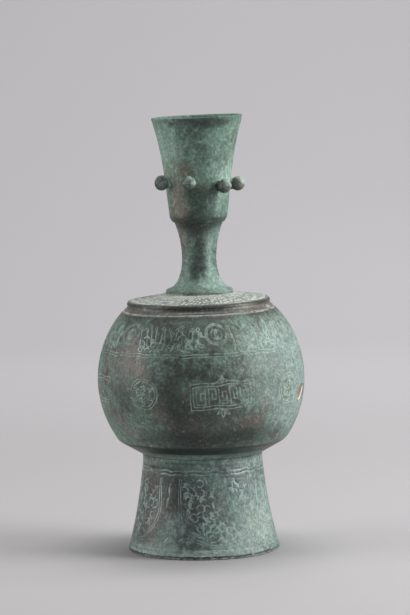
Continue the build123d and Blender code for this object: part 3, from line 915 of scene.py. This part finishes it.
belly_turn_plain = turns(BELLY_COLUMNS_PLAIN)[None, :]
below_count = len(belly_below)
outside_end = below_count + len(belly_outside)
belly_side = band(belly_outside, belly_out[below_count:outside_end], BELLY_COLUMNS, belly_relief)
belly_hollow = band(belly_inside, belly_out[outside_end:], BELLY_COLUMNS_PLAIN)
engraved_belly = turned_skin(
    "engraved_belly",
    [
        band(belly_below, belly_out[:below_count], BELLY_COLUMNS_PLAIN),
        tipped(belly_side, BELLY_TIP_LOW_Z, BELLY_TIP_HIGH_Z),
        tipped(belly_hollow, BELLY_TIP_LOW_Z, BELLY_TIP_HIGH_Z),
    ],
    [
        belly_marks(belly_turn_plain, belly_below[:, :1], belly_below[:, 1:], 0.0),
        belly_marks(belly_turn, belly_r, belly_z, belly_cut),
        belly_marks(belly_turn_plain, belly_inside[:, :1], belly_inside[:, 1:], 0.0),
    ],
    ends=((0, 0, BELLY_BASE_Z), (0, 0, floor_z)),
)
belly_bronze = patina(
    "belly_bronze",
    ground=shade(81, 88, 84),
    green=shade(100, 124, 110),
    pale=shade(147, 163, 161),
    brown=shade(106, 100, 93),
    line=shade(168, 190, 177),
)
finish_on(engraved_belly, belly_bronze)
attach(engraved_belly, "root")
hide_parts("belly")

# Belly plug
# A small oval plug let into the belly's right flank, rubbed bare to brown metal, with a painted glint
# along its low edge.
# Its stem passes through the wall and its head sits a little below the surface.
PLUG_DARK_R = 56.0
PLUG_DARK_ASIDE = -5.0
PLUG_DARK_UP = 6.0
material, shader, place = bare_finish("plug_metal")
# The glint is painted: a pale crescent at a set distance from a point above and to one side of the plug.
plug_angle = math.radians(POCKET_TURN + PLUG_DARK_ASIDE)
plug_dark_side = (
    MILLIMETRE * PLUG_DARK_R * math.sin(plug_angle),
    -MILLIMETRE * PLUG_DARK_R * math.cos(plug_angle),
    MILLIMETRE * (POCKET_Z + PLUG_DARK_UP),
)
plug_ends = {0: place, 1: plug_dark_side}
plug_away = place.node("ShaderNodeVectorMath", {"operation": "DISTANCE"}, plug_ends, "Value")
plug_fine = place.grain(0.6, 2.0, 0.6)
plug_edge = plug_away + 0.0014 * place.grain(2.4, 4.0, 0.6)
plug_glint = plug_edge.between(0.0098, 0.0108) * (1 - plug_edge.between(0.0122, 0.013))
plug_brown = plug_fine.between(0.35, 0.65).tint(shade(104, 91, 79), shade(150, 133, 116))
feed(
    shader,
    Base_Color=plug_glint.tint(plug_brown, shade(246, 228, 208)),
    Roughness=0.6 - 0.2 * plug_glint,
    Metallic=0.2,
    Normal=plug_fine.bump(0.6, 0.0003),
)
finish_on(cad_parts["belly_plug"], material)

# Shoulder plate
# A low cast cap that closes the belly's mouth: a hollow band under a round lip, and a sloping top that is
# punched with dots between scrolls. Its skirt drops into the belly, and the neck stands on its middle.
PLATE_R = 41.0
PLATE_TOP_R = 39.5
PLATE_BASE_Z = 133.472
PLATE_BAND_FOOT = 1.1
PLATE_BAND_HOLLOW = 0.45
PLATE_LIP = 1.8
PLATE_LIP_ROUND = 1.7
PLATE_LIP_OVER = 0.4
PLATE_EDGE_Z = 139.072
PLATE_SEAT_R = 19.2
PLATE_SEAT_Z = 142.572
PLATE_WALL = 2.1
PLATE_SKIRT = 4.0
PLATE_SKIRT_R = 38.94
PLATE_HOLE_R = 9.1
PLATE_COLUMNS = 480
PLATE_COLUMNS_BELOW = 120
DOT_PITCH = 2.0
DOT_STRETCH = 2.0
DOT_R = 0.8
DOT_DEPTH = 0.3
PLATE_CUT_DEPTH = 0.18
PLATE_CUT_WIDTH = 0.6
PLATE_LINES_R = (36.6, 21.6)
SCROLL_R = 29.6
SCROLL_TURN = 24.0
SCROLL_REFERENCE_R = 29.5
PLATE_TOP_MEAN_R = 30.0
PLATE_BAND_MEAN_R = 40.0
PLATE_INNER_R = 21.0


def punched(u, v, pitch, radius, seed):
    """Punched dots, 1 on a dot's flat middle and 0 at radius: one in most cells of a square net, moved
    about by chance. Chance is what a large sine of the cell's numbers has after the point."""
    cell_u, cell_v = np.floor(u / pitch), np.floor(v / pitch)
    chance = np.sin(cell_u * 12.9898 + cell_v * 78.233 + seed) * 43758.5453
    chance = chance - np.floor(chance)
    other = np.mod(chance * 57.31, 1.0)
    away = np.hypot(
        u - (cell_u + 0.3 + 0.4 * chance) * pitch,
        v - (cell_v + 0.3 + 0.4 * other) * pitch,
    )
    return np.clip(1.9 - 1.9 * away / radius, 0, 1) * (chance > 0.16)


plate_throat = (PLATE_TOP_R - PLATE_LIP_OVER, PLATE_EDGE_Z - PLATE_LIP)
plate_round_up = PLATE_LIP_ROUND * (PLATE_SEAT_Z - PLATE_EDGE_Z) / (PLATE_TOP_R - PLATE_SEAT_R)
plate_round = tangent_arc(
    (PLATE_TOP_R, PLATE_EDGE_Z - PLATE_LIP_ROUND),
    (PLATE_TOP_R - PLATE_LIP_ROUND, PLATE_EDGE_Z + plate_round_up),
    (0, 1),
    8,
)
plate_over = np.concatenate([
    rows_along([(PLATE_SKIRT_R, PLATE_BASE_Z), (PLATE_R, PLATE_BASE_Z)], 1.2),
    rows_along([(PLATE_R, PLATE_BASE_Z), (PLATE_R, PLATE_BASE_Z + PLATE_BAND_FOOT)], 0.4),
    rows_along(
        bowed((PLATE_R, PLATE_BASE_Z + PLATE_BAND_FOOT), plate_throat, PLATE_BAND_HOLLOW, 9), 0.45
    ),
    rows_along(
        [
            plate_throat,
            (PLATE_TOP_R - 0.12, PLATE_EDGE_Z - PLATE_LIP),
            (PLATE_TOP_R, PLATE_EDGE_Z - PLATE_LIP_ROUND),
        ],
        0.4,
    ),
    plate_round[:-1],
    rows_along([plate_round[-1], (PLATE_SEAT_R, PLATE_SEAT_Z)], 0.42),
    rows_along([(PLATE_SEAT_R, PLATE_SEAT_Z), (PLATE_HOLE_R, PLATE_SEAT_Z)], 4.0),
])
plate_skirt_in = PLATE_SKIRT_R - PLATE_WALL
plate_under = rows_along(
    [
        (PLATE_HOLE_R, PLATE_SEAT_Z),
        (PLATE_HOLE_R, PLATE_SEAT_Z - PLATE_WALL),
        (PLATE_SEAT_R, PLATE_SEAT_Z - PLATE_WALL),
        (plate_skirt_in, PLATE_EDGE_Z - PLATE_WALL),
        (plate_skirt_in, PLATE_BASE_Z - PLATE_SKIRT),
        (PLATE_SKIRT_R, PLATE_BASE_Z - PLATE_SKIRT),
        (PLATE_SKIRT_R, PLATE_BASE_Z),
    ],
    3.0,
)
plate_out = out_of_metal(np.concatenate([plate_over, plate_under]))
plate_turn = turns(PLATE_COLUMNS)[None, :]
plate_r = plate_over[:, :1]
plate_z = plate_over[:, 1:]
plate_top = (plate_z > PLATE_EDGE_Z) & (plate_r > PLATE_SEAT_R + 0.4)
plate_top = plate_top & (plate_r < PLATE_TOP_R - PLATE_LIP_ROUND)


def plate_cuts(turn, radius):
    """Work on the plate's top: a line by its edge, one by the neck, a ring of mirrored scrolls, and dots
    between. Gives the lines and the dots."""
    sway = np.abs(repeated(turn, 0.0, SCROLL_TURN))
    u, radius = np.broadcast_arrays(np.radians(sway) * SCROLL_REFERENCE_R, radius)
    gaps = [np.abs(radius - level) for level in PLATE_LINES_R]
    gaps.append(scroll_gap(u, radius, (0.0, SCROLL_R), 5.2, 2.6))
    lines = groove(gaps, PLATE_CUT_WIDTH) * faded(turn, radius, 33, 0.3)
    along = np.radians(turn) * SCROLL_REFERENCE_R
    dots = punched(along + 0.3 * radius, radius / DOT_STRETCH + 0.12 * along, DOT_PITCH, DOT_R, 3.1)
    return lines, dots * (1 - lines)


plate_lines, plate_dots = plate_cuts(plate_turn, plate_r)
plate_cut = np.clip(plate_lines * 0.8 + plate_dots * 1.3, 0, 1) * plate_top
plate_shown = (plate_z > PLATE_BASE_Z + 0.3) & (plate_r > PLATE_INNER_R)
plate_relief = 0.1 * swell(plate_turn, plate_r + plate_z, 31) * plate_shown
plate_relief = plate_relief - (PLATE_CUT_DEPTH * plate_lines + DOT_DEPTH * plate_dots) * plate_top


def plate_marks(turn, radius, height, cut):
    """Where the plate is pale green, brown or black: its band is brown to black, with painted shade under
    the lip and a painted glint near its right end, and its top is pale, from dust and painted light from
    above, and palest in a ring of dust round the neck."""
    on_top = np.clip((PLATE_TOP_R - 0.5 - radius) / 0.8, 0, 1) * (height > PLATE_EDGE_Z - 1.0)
    # Painted shade under the overhanging lip of the top.
    lip = np.clip(1 - np.abs(height - PLATE_EDGE_Z + 1.1) / 1.2, 0, 1) * (radius > PLATE_TOP_R - 1.2)
    dust = 0.7 * np.clip(1 - np.abs(radius - PLATE_INNER_R) / 6.0, 0, 1)
    # The top's pale base is dust and painted light from above; the ring round the neck is dust.
    top_dust_and_light = 0.65 + dust + spots(turn, radius, PLATE_TOP_MEAN_R, (
        (-20, 22, 12, 3, 0.4),
        (46, 22, 10, 4, 0.4),
        (52, 34, 18, 6, 0.4),
        (-58, 34, 14, 5, 0.4),
    ))
    mint_and_highlight = top_dust_and_light * on_top + spots(turn, height, PLATE_BAND_MEAN_R, (
        (52, 136.4, 16, 1.6, 0.3),
        # painted glint on the bead's right end
        (72, 134.9, 4, 1.2, 1.0),
        (30, 134.0, 30, 0.5, 0.6),
        (-46, 136.6, 9, 0.9, 0.5),
        (180, 137, 50, 4, 0.3),
    ))
    brown = (1 - on_top) * (0.6 + spots(turn, height, PLATE_BAND_MEAN_R, ((-58, 136, 14, 6, 0.4),)))
    between_dots = 0.6 * on_top * (1 - cut) * (1 - dust)
    soot_and_shade = 0.52 * (1 - on_top) + 0.7 * lip + between_dots + spots(turn, height, PLATE_BAND_MEAN_R, (
        (0, 137.0, 24, 1.2, 0.6),
        (14, 135.2, 10, 0.9, 0.4),
    ))
    return joined(cut, mint_and_highlight, brown, soot_and_shade)


def seated(points, radius):
    """Turns the plate by the whole tilt about the belly's middle, and moves its hole back sideways by
    height times the tilt's tangent, so that it stays upright round the bottle's axis."""
    points = tipped(points, -2.0, -1.0)
    share = np.clip((PLATE_SEAT_R - radius) / (PLATE_SEAT_R - PLATE_HOLE_R), 0, 1)
    points[..., 0] += share * (points[..., 2] - BELLY_WIDE_Z) * math.tan(math.radians(MOUTH_TILT))
    return points


plate_turn_below = turns(PLATE_COLUMNS_BELOW)[None, :]
punched_plate = turned_skin(
    "punched_plate",
    [
        seated(band(plate_over, plate_out[: len(plate_over)], PLATE_COLUMNS, plate_relief), plate_r),
        seated(band(plate_under, plate_out[len(plate_over):], PLATE_COLUMNS_BELOW), plate_under[:, :1]),
    ],
    [
        plate_marks(plate_turn, plate_r, plate_z, plate_cut),
        plate_marks(plate_turn_below, plate_under[:, :1], plate_under[:, 1:], 0.0),
    ],
)
plate_bronze = patina(
    "plate_bronze",
    ground=shade(106, 108, 104),
    green=shade(120, 136, 126),
    pale=shade(204, 209, 200),
    brown=shade(122, 113, 104),
    line=shade(224, 226, 216),
    cloud=9.0,
)
finish_on(punched_plate, plate_bronze)
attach(punched_plate, "root")
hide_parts("shoulder_plate")

# Neck
# A waisted tube of cast bronze, turned smooth. Its thin flange is soldered to the shoulder plate, its
# tenon passes through the plate, and the spigot at its top carries the cup.
NECK_BASE_Z = 143.2
NECK_TOP_Z = 181.7
NECK_FLANGE_R = 18.6
NECK_FLANGE_Z = 144.5
NECK_COVE_R = 11.65
NECK_COVE_Z = 150.2
NECK_WAIST_R = 9.45
NECK_WAIST_Z = 161.56
NECK_TOP_R = 13.3
NECK_BORE_R = 6.2
NECK_TENON_R = 9.0
NECK_TENON_Z = 139.272
NECK_SPIGOT_Z = 185.6
NECK_MEAN_R = 11.0
NECK_COLUMNS = 288
NECK_COLUMNS_INSIDE = 72
neck_slow = tangent_arc((NECK_WAIST_R, NECK_WAIST_Z), (NECK_COVE_R, NECK_COVE_Z), (0, -1), 15)
neck_way = neck_slow[-1] - neck_slow[-2]
neck_cove = tangent_arc((NECK_COVE_R, NECK_COVE_Z), (NECK_FLANGE_R, NECK_FLANGE_Z), neck_way, 15)
neck_rise = tangent_arc((NECK_WAIST_R, NECK_WAIST_Z), (NECK_TOP_R, NECK_TOP_Z), (0, 1), 25)
neck_outside = np.concatenate([
    rows_along([(NECK_TENON_R, NECK_BASE_Z), (NECK_FLANGE_R - 0.3, NECK_BASE_Z)], 3.0),
    rows_along(
        [
            (NECK_FLANGE_R - 0.3, NECK_BASE_Z),
            (NECK_FLANGE_R, NECK_BASE_Z + 0.3),
            (NECK_FLANGE_R, NECK_FLANGE_Z - 0.35),
            (NECK_FLANGE_R - 0.35, NECK_FLANGE_Z),
        ],
        0.4,
    ),
    rows_along(neck_cove[::-1][1:], 0.7),
    rows_along(neck_slow[::-1], 0.7),
    rows_along(neck_rise, 0.7),
    rows_along([(NECK_TOP_R, NECK_TOP_Z), (NECK_TENON_R, NECK_TOP_Z)], 2.4),
])
neck_inside = rows_along(
    [
        (NECK_TENON_R, NECK_TOP_Z),
        (NECK_TENON_R, NECK_SPIGOT_Z),
        (NECK_BORE_R, NECK_SPIGOT_Z),
        (NECK_BORE_R, NECK_TENON_Z),
        (NECK_TENON_R, NECK_TENON_Z),
        (NECK_TENON_R, NECK_BASE_Z),
    ],
    3.0,
)
neck_out = out_of_metal(np.concatenate([neck_outside, neck_inside]))
neck_turn = turns(NECK_COLUMNS)[None, :]
neck_z = neck_outside[:, 1:]
neck_shown = (neck_z > NECK_FLANGE_Z - 0.4) & (neck_z < NECK_TOP_Z - 0.2)
neck_relief = (
    0.1 * swell(neck_turn, neck_z, 41)
    + 0.05 * np.cos(neck_z * 2.6 + 0.6 * swell(neck_turn, neck_z, 42))
) * neck_shown


def neck_marks(turn, height):
    """Where the neck is pale green, brown or black: soft patches by turn and height, with a narrow
    painted highlight on the right, painted shade beyond it and painted shade under the cup.
    """
    mint_and_highlight = spots(turn, height, NECK_MEAN_R, (
        (62, 160, 6, 26, 0.2),
        # painted highlight, a narrow strip on the right
        (36, 163, 2.6, 14, 0.6),
        (50, 147, 10, 5, 0.4),
        (-36, 147, 12, 4, 0.45),
        (0, 143.4, 200, 0.8, 0.3),
        (0, 150, 200, 5, 0.3),
        (180, 165, 12, 20, 0.4),
    ))
    brown = spots(turn, height, NECK_MEAN_R, (
        (-46, 173, 6, 9, 0.9),
        (-60, 158, 5, 10, 0.4),
        (150, 175, 8, 8, 0.4),
    ))
    soot_and_shade = spots(turn, height, NECK_MEAN_R, (
        (1, 166, 5.5, 13, 0.5),
        # painted shade beyond the highlight
        (64, 166, 4, 12, 0.3),
        (-14, 178, 12, 4, 0.5),
        # painted shade under the cup
        (0, 181.0, 200, 2.2, 0.8),
        (-6, 144.0, 20, 0.9, 0.4),
    ))
    return joined(0.0, mint_and_highlight, brown, soot_and_shade)


turned_neck = turned_skin(
    "turned_neck",
    [
        band(neck_outside, neck_out[: len(neck_outside)], NECK_COLUMNS, neck_relief),
        band(neck_inside, neck_out[len(neck_outside):], NECK_COLUMNS_INSIDE),
    ],
    [
        neck_marks(neck_turn, neck_z),
        neck_marks(turns(NECK_COLUMNS_INSIDE)[None, :], neck_inside[:, 1:]),
    ],
)
neck_bronze = patina(
    "neck_bronze",
    ground=shade(80, 92, 88),
    green=shade(101, 129, 117),
    pale=shade(158, 184, 173),
    brown=shade(108, 101, 94),
    cloud=10.0,
)
finish_on(turned_neck, neck_bronze)
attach(turned_neck, "root")
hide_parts("neck")

# Mouth cup
# A flared cup of cast bronze on the neck's spigot, with a sloped bottom edge, a holed floor and a thin
# rim that was filed off a little out of square. It is plain, pitted and greenest of all the pieces.
CUP_BASE_Z = 182.0
CUP_SIDE_Z = 184.3
CUP_BASE_R = 15.8
CUP_EDGE_IN = 1.4
CUP_BEND_R = 18.7
CUP_BEND_Z = 209.1
CUP_RIM_R = 25.2
CUP_RIM_Z = 239.7
CUP_FLOOR_Z = 185.6
CUP_HOLE_R = 9.1
CUP_WALL_FOOT = 2.8
CUP_WALL_RIM = 1.8
RIM_SLANT = 1.7
CUP_MEAN_R = 19.0
CUP_COLUMNS = 384
CUP_COLUMNS_INSIDE = 192
cup_side_way = (CUP_BEND_R - CUP_BASE_R, CUP_BEND_Z - CUP_SIDE_Z)
cup_flare = tangent_arc((CUP_BEND_R, CUP_BEND_Z), (CUP_RIM_R, CUP_RIM_Z), cup_side_way, 33)
cup_inner_foot_r = CUP_BASE_R - CUP_WALL_FOOT
cup_inner_bend_r = CUP_BEND_R - (CUP_WALL_FOOT + CUP_WALL_RIM) / 2
cup_inner_way = (cup_inner_bend_r - cup_inner_foot_r, CUP_BEND_Z - CUP_FLOOR_Z)
cup_inner_flare = tangent_arc(
    (cup_inner_bend_r, CUP_BEND_Z), (CUP_RIM_R - CUP_WALL_RIM, CUP_RIM_Z), cup_inner_way, 25
)
cup_outside = np.concatenate([
    rows_along([(CUP_HOLE_R, CUP_BASE_Z), (CUP_BASE_R - CUP_EDGE_IN, CUP_BASE_Z)], 3.0),
    rows_along([(CUP_BASE_R - CUP_EDGE_IN, CUP_BASE_Z), (CUP_BASE_R, CUP_SIDE_Z)], 0.5),
    rows_along([(CUP_BASE_R, CUP_SIDE_Z), (CUP_BEND_R, CUP_BEND_Z)], 0.6),
    rows_along(cup_flare, 0.6),
    [(CUP_RIM_R - 0.1, CUP_RIM_Z), (CUP_RIM_R - 0.45, CUP_RIM_Z + 0.25)],
])
cup_inside = np.concatenate([
    [(CUP_RIM_R - CUP_WALL_RIM + 0.45, CUP_RIM_Z + 0.25), (CUP_RIM_R - CUP_WALL_RIM, CUP_RIM_Z - 0.1)],
    rows_along(cup_inner_flare[::-1][1:], 1.4),
    rows_along([(cup_inner_bend_r, CUP_BEND_Z), (cup_inner_foot_r, CUP_FLOOR_Z)], 1.6),
    rows_along(
        [(cup_inner_foot_r, CUP_FLOOR_Z), (CUP_HOLE_R, CUP_FLOOR_Z), (CUP_HOLE_R, CUP_BASE_Z)], 2.0
    ),
])
cup_out = out_of_metal(np.concatenate([cup_outside, cup_inside]))
cup_turn = turns(CUP_COLUMNS)[None, :]
cup_z = cup_outside[:, 1:]
cup_dents = np.clip(swell(cup_turn, cup_z, 52, waves=44, finest=40) - 1.2, 0, 1)
cup_shown = np.clip((cup_z - CUP_SIDE_Z - 0.5) / 2.0, 0, 1) * np.clip((CUP_RIM_Z - cup_z) / 3.0, 0, 1)
cup_relief = (0.14 * swell(cup_turn, cup_z, 51) - 0.22 * cup_dents) * cup_shown


def slanted(points):
    """Tips the rim: points above the bend rise by x times the slant, times the square of their share of
    the way to the rim, so the left is lower."""
    share = np.clip((points[..., 2] - CUP_BEND_Z) / (CUP_RIM_Z - CUP_BEND_Z), 0, 1)
    points[..., 2] += share ** 2 * points[..., 0] * math.tan(math.radians(RIM_SLANT))
    return points


def cup_marks(turn, height):
    """Where the cup is pale green, brown or black: soft patches by turn and height, and a ring of painted
    shade round its bottom edge.
    """
    mint_and_highlight = spots(turn, height, CUP_MEAN_R, (
        (70, 218, 7, 18, 0.25),
        (60, 205, 7, 8, 0.7),
        (44, 194, 5, 6, 0.4),
        (20, 210, 6, 5, 0.3),
        (-60, 222, 11, 15, 0.75),
        (-10, 217, 7, 6, 0.15),
        (-64, 204, 5, 5, 0.4),
        (-38, 234, 9, 6, 0.15),
        (-10, 206.5, 4, 2.6, 0.6),
        (44, 205, 5, 4.5, 0.5),
        (78, 204, 6, 6, 0.6),
        (170, 215, 24, 24, 0.4),
    ))
    brown = spots(turn, height, CUP_MEAN_R, (
        (-42, 196, 10, 13, 1.0),
        (-24, 209, 7, 5, 0.7),
        (8, 203, 5, 4, 0.6),
        (-30, 186, 10, 4, 0.6),
        (130, 198, 10, 10, 0.5),
    ))
    soot_and_shade = spots(turn, height, CUP_MEAN_R, (
        (20, 237, 9, 4, 0.9),
        (4, 196, 8, 10, 0.75),
        # painted shade round the cup's bottom edge
        (0, 183.0, 300, 2.8, 1.0),
        (-4, 187, 10, 5, 0.5),
        (10, 226, 9, 16, 0.25),
        (-16, 199, 5, 4, 0.4),
        (33, 198, 5, 4, 0.4),
        (180, 238, 60, 3, 0.3),
    ))
    return joined(0.0, mint_and_highlight, brown, soot_and_shade)


flared_cup = turned_skin(
    "flared_cup",
    [
        slanted(band(cup_outside, cup_out[: len(cup_outside)], CUP_COLUMNS, cup_relief)),
        slanted(band(cup_inside, cup_out[len(cup_outside):], CUP_COLUMNS_INSIDE)),
    ],
    [
        cup_marks(cup_turn, cup_z),
        cup_marks(turns(CUP_COLUMNS_INSIDE)[None, :], cup_inside[:, 1:]),
    ],
)
cup_bronze = patina(
    "cup_bronze",
    ground=shade(80, 96, 90),
    green=shade(102, 132, 118),
    pale=shade(158, 187, 172),
    brown=shade(110, 105, 92),
    green_bias=0.05,
    cloud=10.0,
)
finish_on(flared_cup, cup_bronze)
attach(flared_cup, "root")
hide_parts("mouth_cup")

# Bosses
# Seven ball-headed pegs of bronze set through the cup's wall in a ring that was spaced by eye.
# Each sits in a spot face, and no two heads are worn alike.
BOSS_SITES = (
    (-64.0, 0.5),
    (-13.0, 1.0),
    (41.5, -1.2),
    (87.0, -0.8),
    (139.0, -0.4),
    (191.0, 0.4),
    (244.0, 0.2),
)
BOSS_Z = 203.3
BOSS_BALL_R = 4.0
BOSS_STALK_R = 3.1
BOSS_REACH = 4.1
BOSS_SINK = 0.7
BOSS_TENON_R = 1.7
BOSS_WALL = 2.3
BOSS_COLUMNS = 64
BOSS_BROWN = 0.45
BOSS_LIT_SIDE = np.array((0.55, -0.1, 0.6))


def boss_skin(name, turn, lift, seed):
    """One boss: its profile along the peg, turned about the peg's own axis, with worn flats on its head.
    The side towards the stronger light gets a painted highlight, the other painted shade."""
    level = BOSS_Z + lift
    wall_r = CUP_BASE_R + (level - CUP_SIDE_Z) / (CUP_BEND_Z - CUP_SIDE_Z) * (CUP_BEND_R - CUP_BASE_R)
    start = math.asin(BOSS_STALK_R / BOSS_BALL_R)
    angle = np.linspace(math.pi - start, 0.06, 26)
    ball = np.stack([BOSS_BALL_R * np.sin(angle), BOSS_REACH + BOSS_BALL_R * np.cos(angle)], axis=1)
    rows = np.concatenate([
        rows_along(
            [
                (0.4, -BOSS_WALL),
                (BOSS_TENON_R, -BOSS_WALL),
                (BOSS_TENON_R, -BOSS_SINK),
                (BOSS_STALK_R, -BOSS_SINK),
                (BOSS_STALK_R, ball[0, 1]),
            ],
            0.6,
        ),
        ball,
    ])
    out = out_of_metal(rows, ring=False)
    around = turns(BOSS_COLUMNS)[None, :]
    worn = swell(around, rows[:, 1:] * 6.0, seed, finest=5)
    relief = (0.16 * worn - 0.2) * np.clip(rows[:, 1:] / 1.5, 0, 1)
    points = band(rows, out, BOSS_COLUMNS, relief)
    tip = float(points[-1, :, 2].mean())
    ends = np.array([(0.0, 0.0, -BOSS_WALL), (0.0, 0.0, tip)])
    side = np.array([math.cos(math.radians(turn)), math.sin(math.radians(turn)), 0.0])
    away = np.array([math.sin(math.radians(turn)), -math.cos(math.radians(turn)), 0.0])
    up = np.array([0.0, 0.0, 1.0])

    def placed(local):
        """The peg's own x, y and length become sideways, up and away from the cup's axis."""
        flat = local[..., :1] * side + (local[..., 2:] + wall_r) * away
        return flat + (local[..., 1:2] + level) * up

    length = points[..., 2]
    from_middle = placed(points) - placed(np.array((0.0, 0.0, BOSS_REACH)))
    # Painted light: pale on the side that faces the stronger lamp, black on the side turned away.
    lit = from_middle @ BOSS_LIT_SIDE / BOSS_BALL_R
    root = np.clip(1.0 - np.abs(length - 0.3) / 1.4, 0, 1)
    mint_and_highlight = 0.6 * root + 1.9 * np.clip(lit - 0.28, 0, 1) + 0.3 * np.clip(worn, 0, 1)
    soot_and_shade = 1.2 * np.clip(0.05 - lit, 0, 1) + 0.3 * np.clip(-worn, 0, 1)
    return turned_skin(name, [placed(points)], [joined(0.0, mint_and_highlight, BOSS_BROWN, soot_and_shade)], ends=placed(ends))


boss_bronze = patina(
    "boss_bronze",
    ground=shade(78, 82, 77),
    green=shade(94, 116, 106),
    pale=shade(184, 198, 188),
    brown=shade(102, 97, 90),
    green_bias=0.03,
    cloud=5.0,
)
for number, (turn, lift) in enumerate(BOSS_SITES, start=1):
    boss = boss_skin(f"boss_head_{number}", turn, lift, 60 + number)
    finish_on(boss, boss_bronze)
    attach(boss, "root")
    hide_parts(f"boss_{number}")

# Floor and backdrop
# One pale grey sheet that runs back from the object and curves up behind it, not part of the object.
# It is clear when seen from below or behind, so that the object's back is in view too.
SWEEP_FRONT = -2.6
SWEEP_BACK = 1.9
SWEEP_RISE = 2.6
SWEEP_BEND = 0.9
SWEEP_HALF_WIDTH = 3.2
SWEEP_FLAT_ROWS = 19
SWEEP_BEND_ROWS = 28
sweep_angle = np.linspace(0, math.pi / 2, SWEEP_BEND_ROWS)
sweep_y = np.concatenate([
    np.linspace(SWEEP_FRONT, SWEEP_BACK - SWEEP_BEND, SWEEP_FLAT_ROWS + 1)[:-1],
    SWEEP_BACK - SWEEP_BEND + SWEEP_BEND * np.sin(sweep_angle),
    [SWEEP_BACK],
])
sweep_z = np.concatenate([
    np.zeros(SWEEP_FLAT_ROWS),
    SWEEP_BEND - SWEEP_BEND * np.cos(sweep_angle),
    [SWEEP_RISE],
])
sweep_left = np.stack([np.full(len(sweep_y), -SWEEP_HALF_WIDTH), sweep_y, sweep_z], axis=1)
sweep_right = sweep_left * np.array([-1.0, 1.0, 1.0])
sweep_row = np.arange(len(sweep_y) - 1)
sweep_faces = np.stack(
    [sweep_row, sweep_row + len(sweep_y), sweep_row + 1 + len(sweep_y), sweep_row + 1], axis=1
)
sweep_mesh = bpy.data.meshes.new("backdrop")
sweep_mesh.from_pydata(np.concatenate([sweep_left, sweep_right]).tolist(), [], sweep_faces.tolist())
sweep_mesh.polygons.foreach_set("use_smooth", np.ones(len(sweep_faces), bool))
backdrop = bpy.data.objects.new("backdrop", sweep_mesh)
bpy.context.collection.objects.link(backdrop)
material, shader, place = bare_finish("backdrop_paper")
away = place.node("ShaderNodeSeparateXYZ", {}, {0: place}, "Y")
across = place.node("ShaderNodeSeparateXYZ", {}, {0: place}, "X")
# Painted light: the sheet grows lighter further back, where less lamp light reaches it, and a little
# lighter to the right.
paper = away.between(0.3, 1.0).tint(shade(181, 179, 180), shade(206, 204, 206))
lean = across.between(-0.25, 0.25) * (1 - 0.7 * away.between(1.25, 1.5))
under_side = place.node("ShaderNodeNewGeometry", {}, {}, "Backfacing")
feed(shader, Base_Color=(0.962 + 0.06 * lean).dimmed(paper), Roughness=0.9, Alpha=1 - under_side)
shader.inputs["Specular IOR Level"].default_value = 0.1
finish_on(backdrop, material)

# Light
# Two soft boxes, the stronger on the right, a soft light from above and one for the backdrop,
# in a grey room.
ROOM_GREY = (0.5, 0.5, 0.51, 1.0)
ROOM_STRENGTH = 0.33


def soft_box(name, place, aim, wide, tall, power):
    """A flat lamp at a place, facing a point of the object."""
    lamp = bpy.data.lights.new(name, "AREA")
    lamp.shape = "RECTANGLE"
    lamp.size = wide
    lamp.size_y = tall
    lamp.energy = power
    box = bpy.data.objects.new(name, lamp)
    box.location = place
    box.rotation_euler = (Vector(aim) - Vector(place)).to_track_quat("-Z", "Y").to_euler()
    bpy.context.collection.objects.link(box)


soft_box("right_box", (1.15, -0.25, 0.55), (0, 0, 0.12), 0.6, 0.8, 15.5)
soft_box("left_box", (-1.2, -0.15, 0.5), (0, 0, 0.12), 0.7, 1.0, 7.5)
soft_box("top_box", (0.1, 0.2, 1.7), (0, 0, 0.1), 1.2, 1.0, 15.6)
soft_box("wall_box", (0.5, 0.55, 2.0), (0.35, 1.9, 0.55), 1.6, 0.4, 9.0)
world = bpy.data.worlds.new("room")
world.use_nodes = True
room_light = world.node_tree.nodes["Background"]
room_light.inputs["Color"].default_value = ROOM_GREY
room_light.inputs["Strength"].default_value = ROOM_STRENGTH
bpy.context.scene.world = world

# Camera
# It stands a little higher than the cup's rim, 1.7 m off, looks slightly down and leans by a degree.
CAMERA_PLACE = (0.0028, -1.680, 0.2987)
CAMERA_PITCH = 5.594
CAMERA_LEAN = 1.0
CAMERA_LENS = 178.66
camera_data = bpy.data.cameras.new("camera")
camera_data.lens = CAMERA_LENS
camera_data.sensor_width = 36.0
camera_data.clip_end = 20.0
camera = bpy.data.objects.new("camera", camera_data)
camera.matrix_world = (
    Matrix.Translation(CAMERA_PLACE)
    @ Matrix.Rotation(math.radians(90 - CAMERA_PITCH), 4, "X")
    @ Matrix.Rotation(math.radians(-CAMERA_LEAN), 4, "Z")
)
bpy.context.collection.objects.link(camera)
bpy.context.scene.camera = camera
bpy.context.scene.view_settings.view_transform = "Standard"
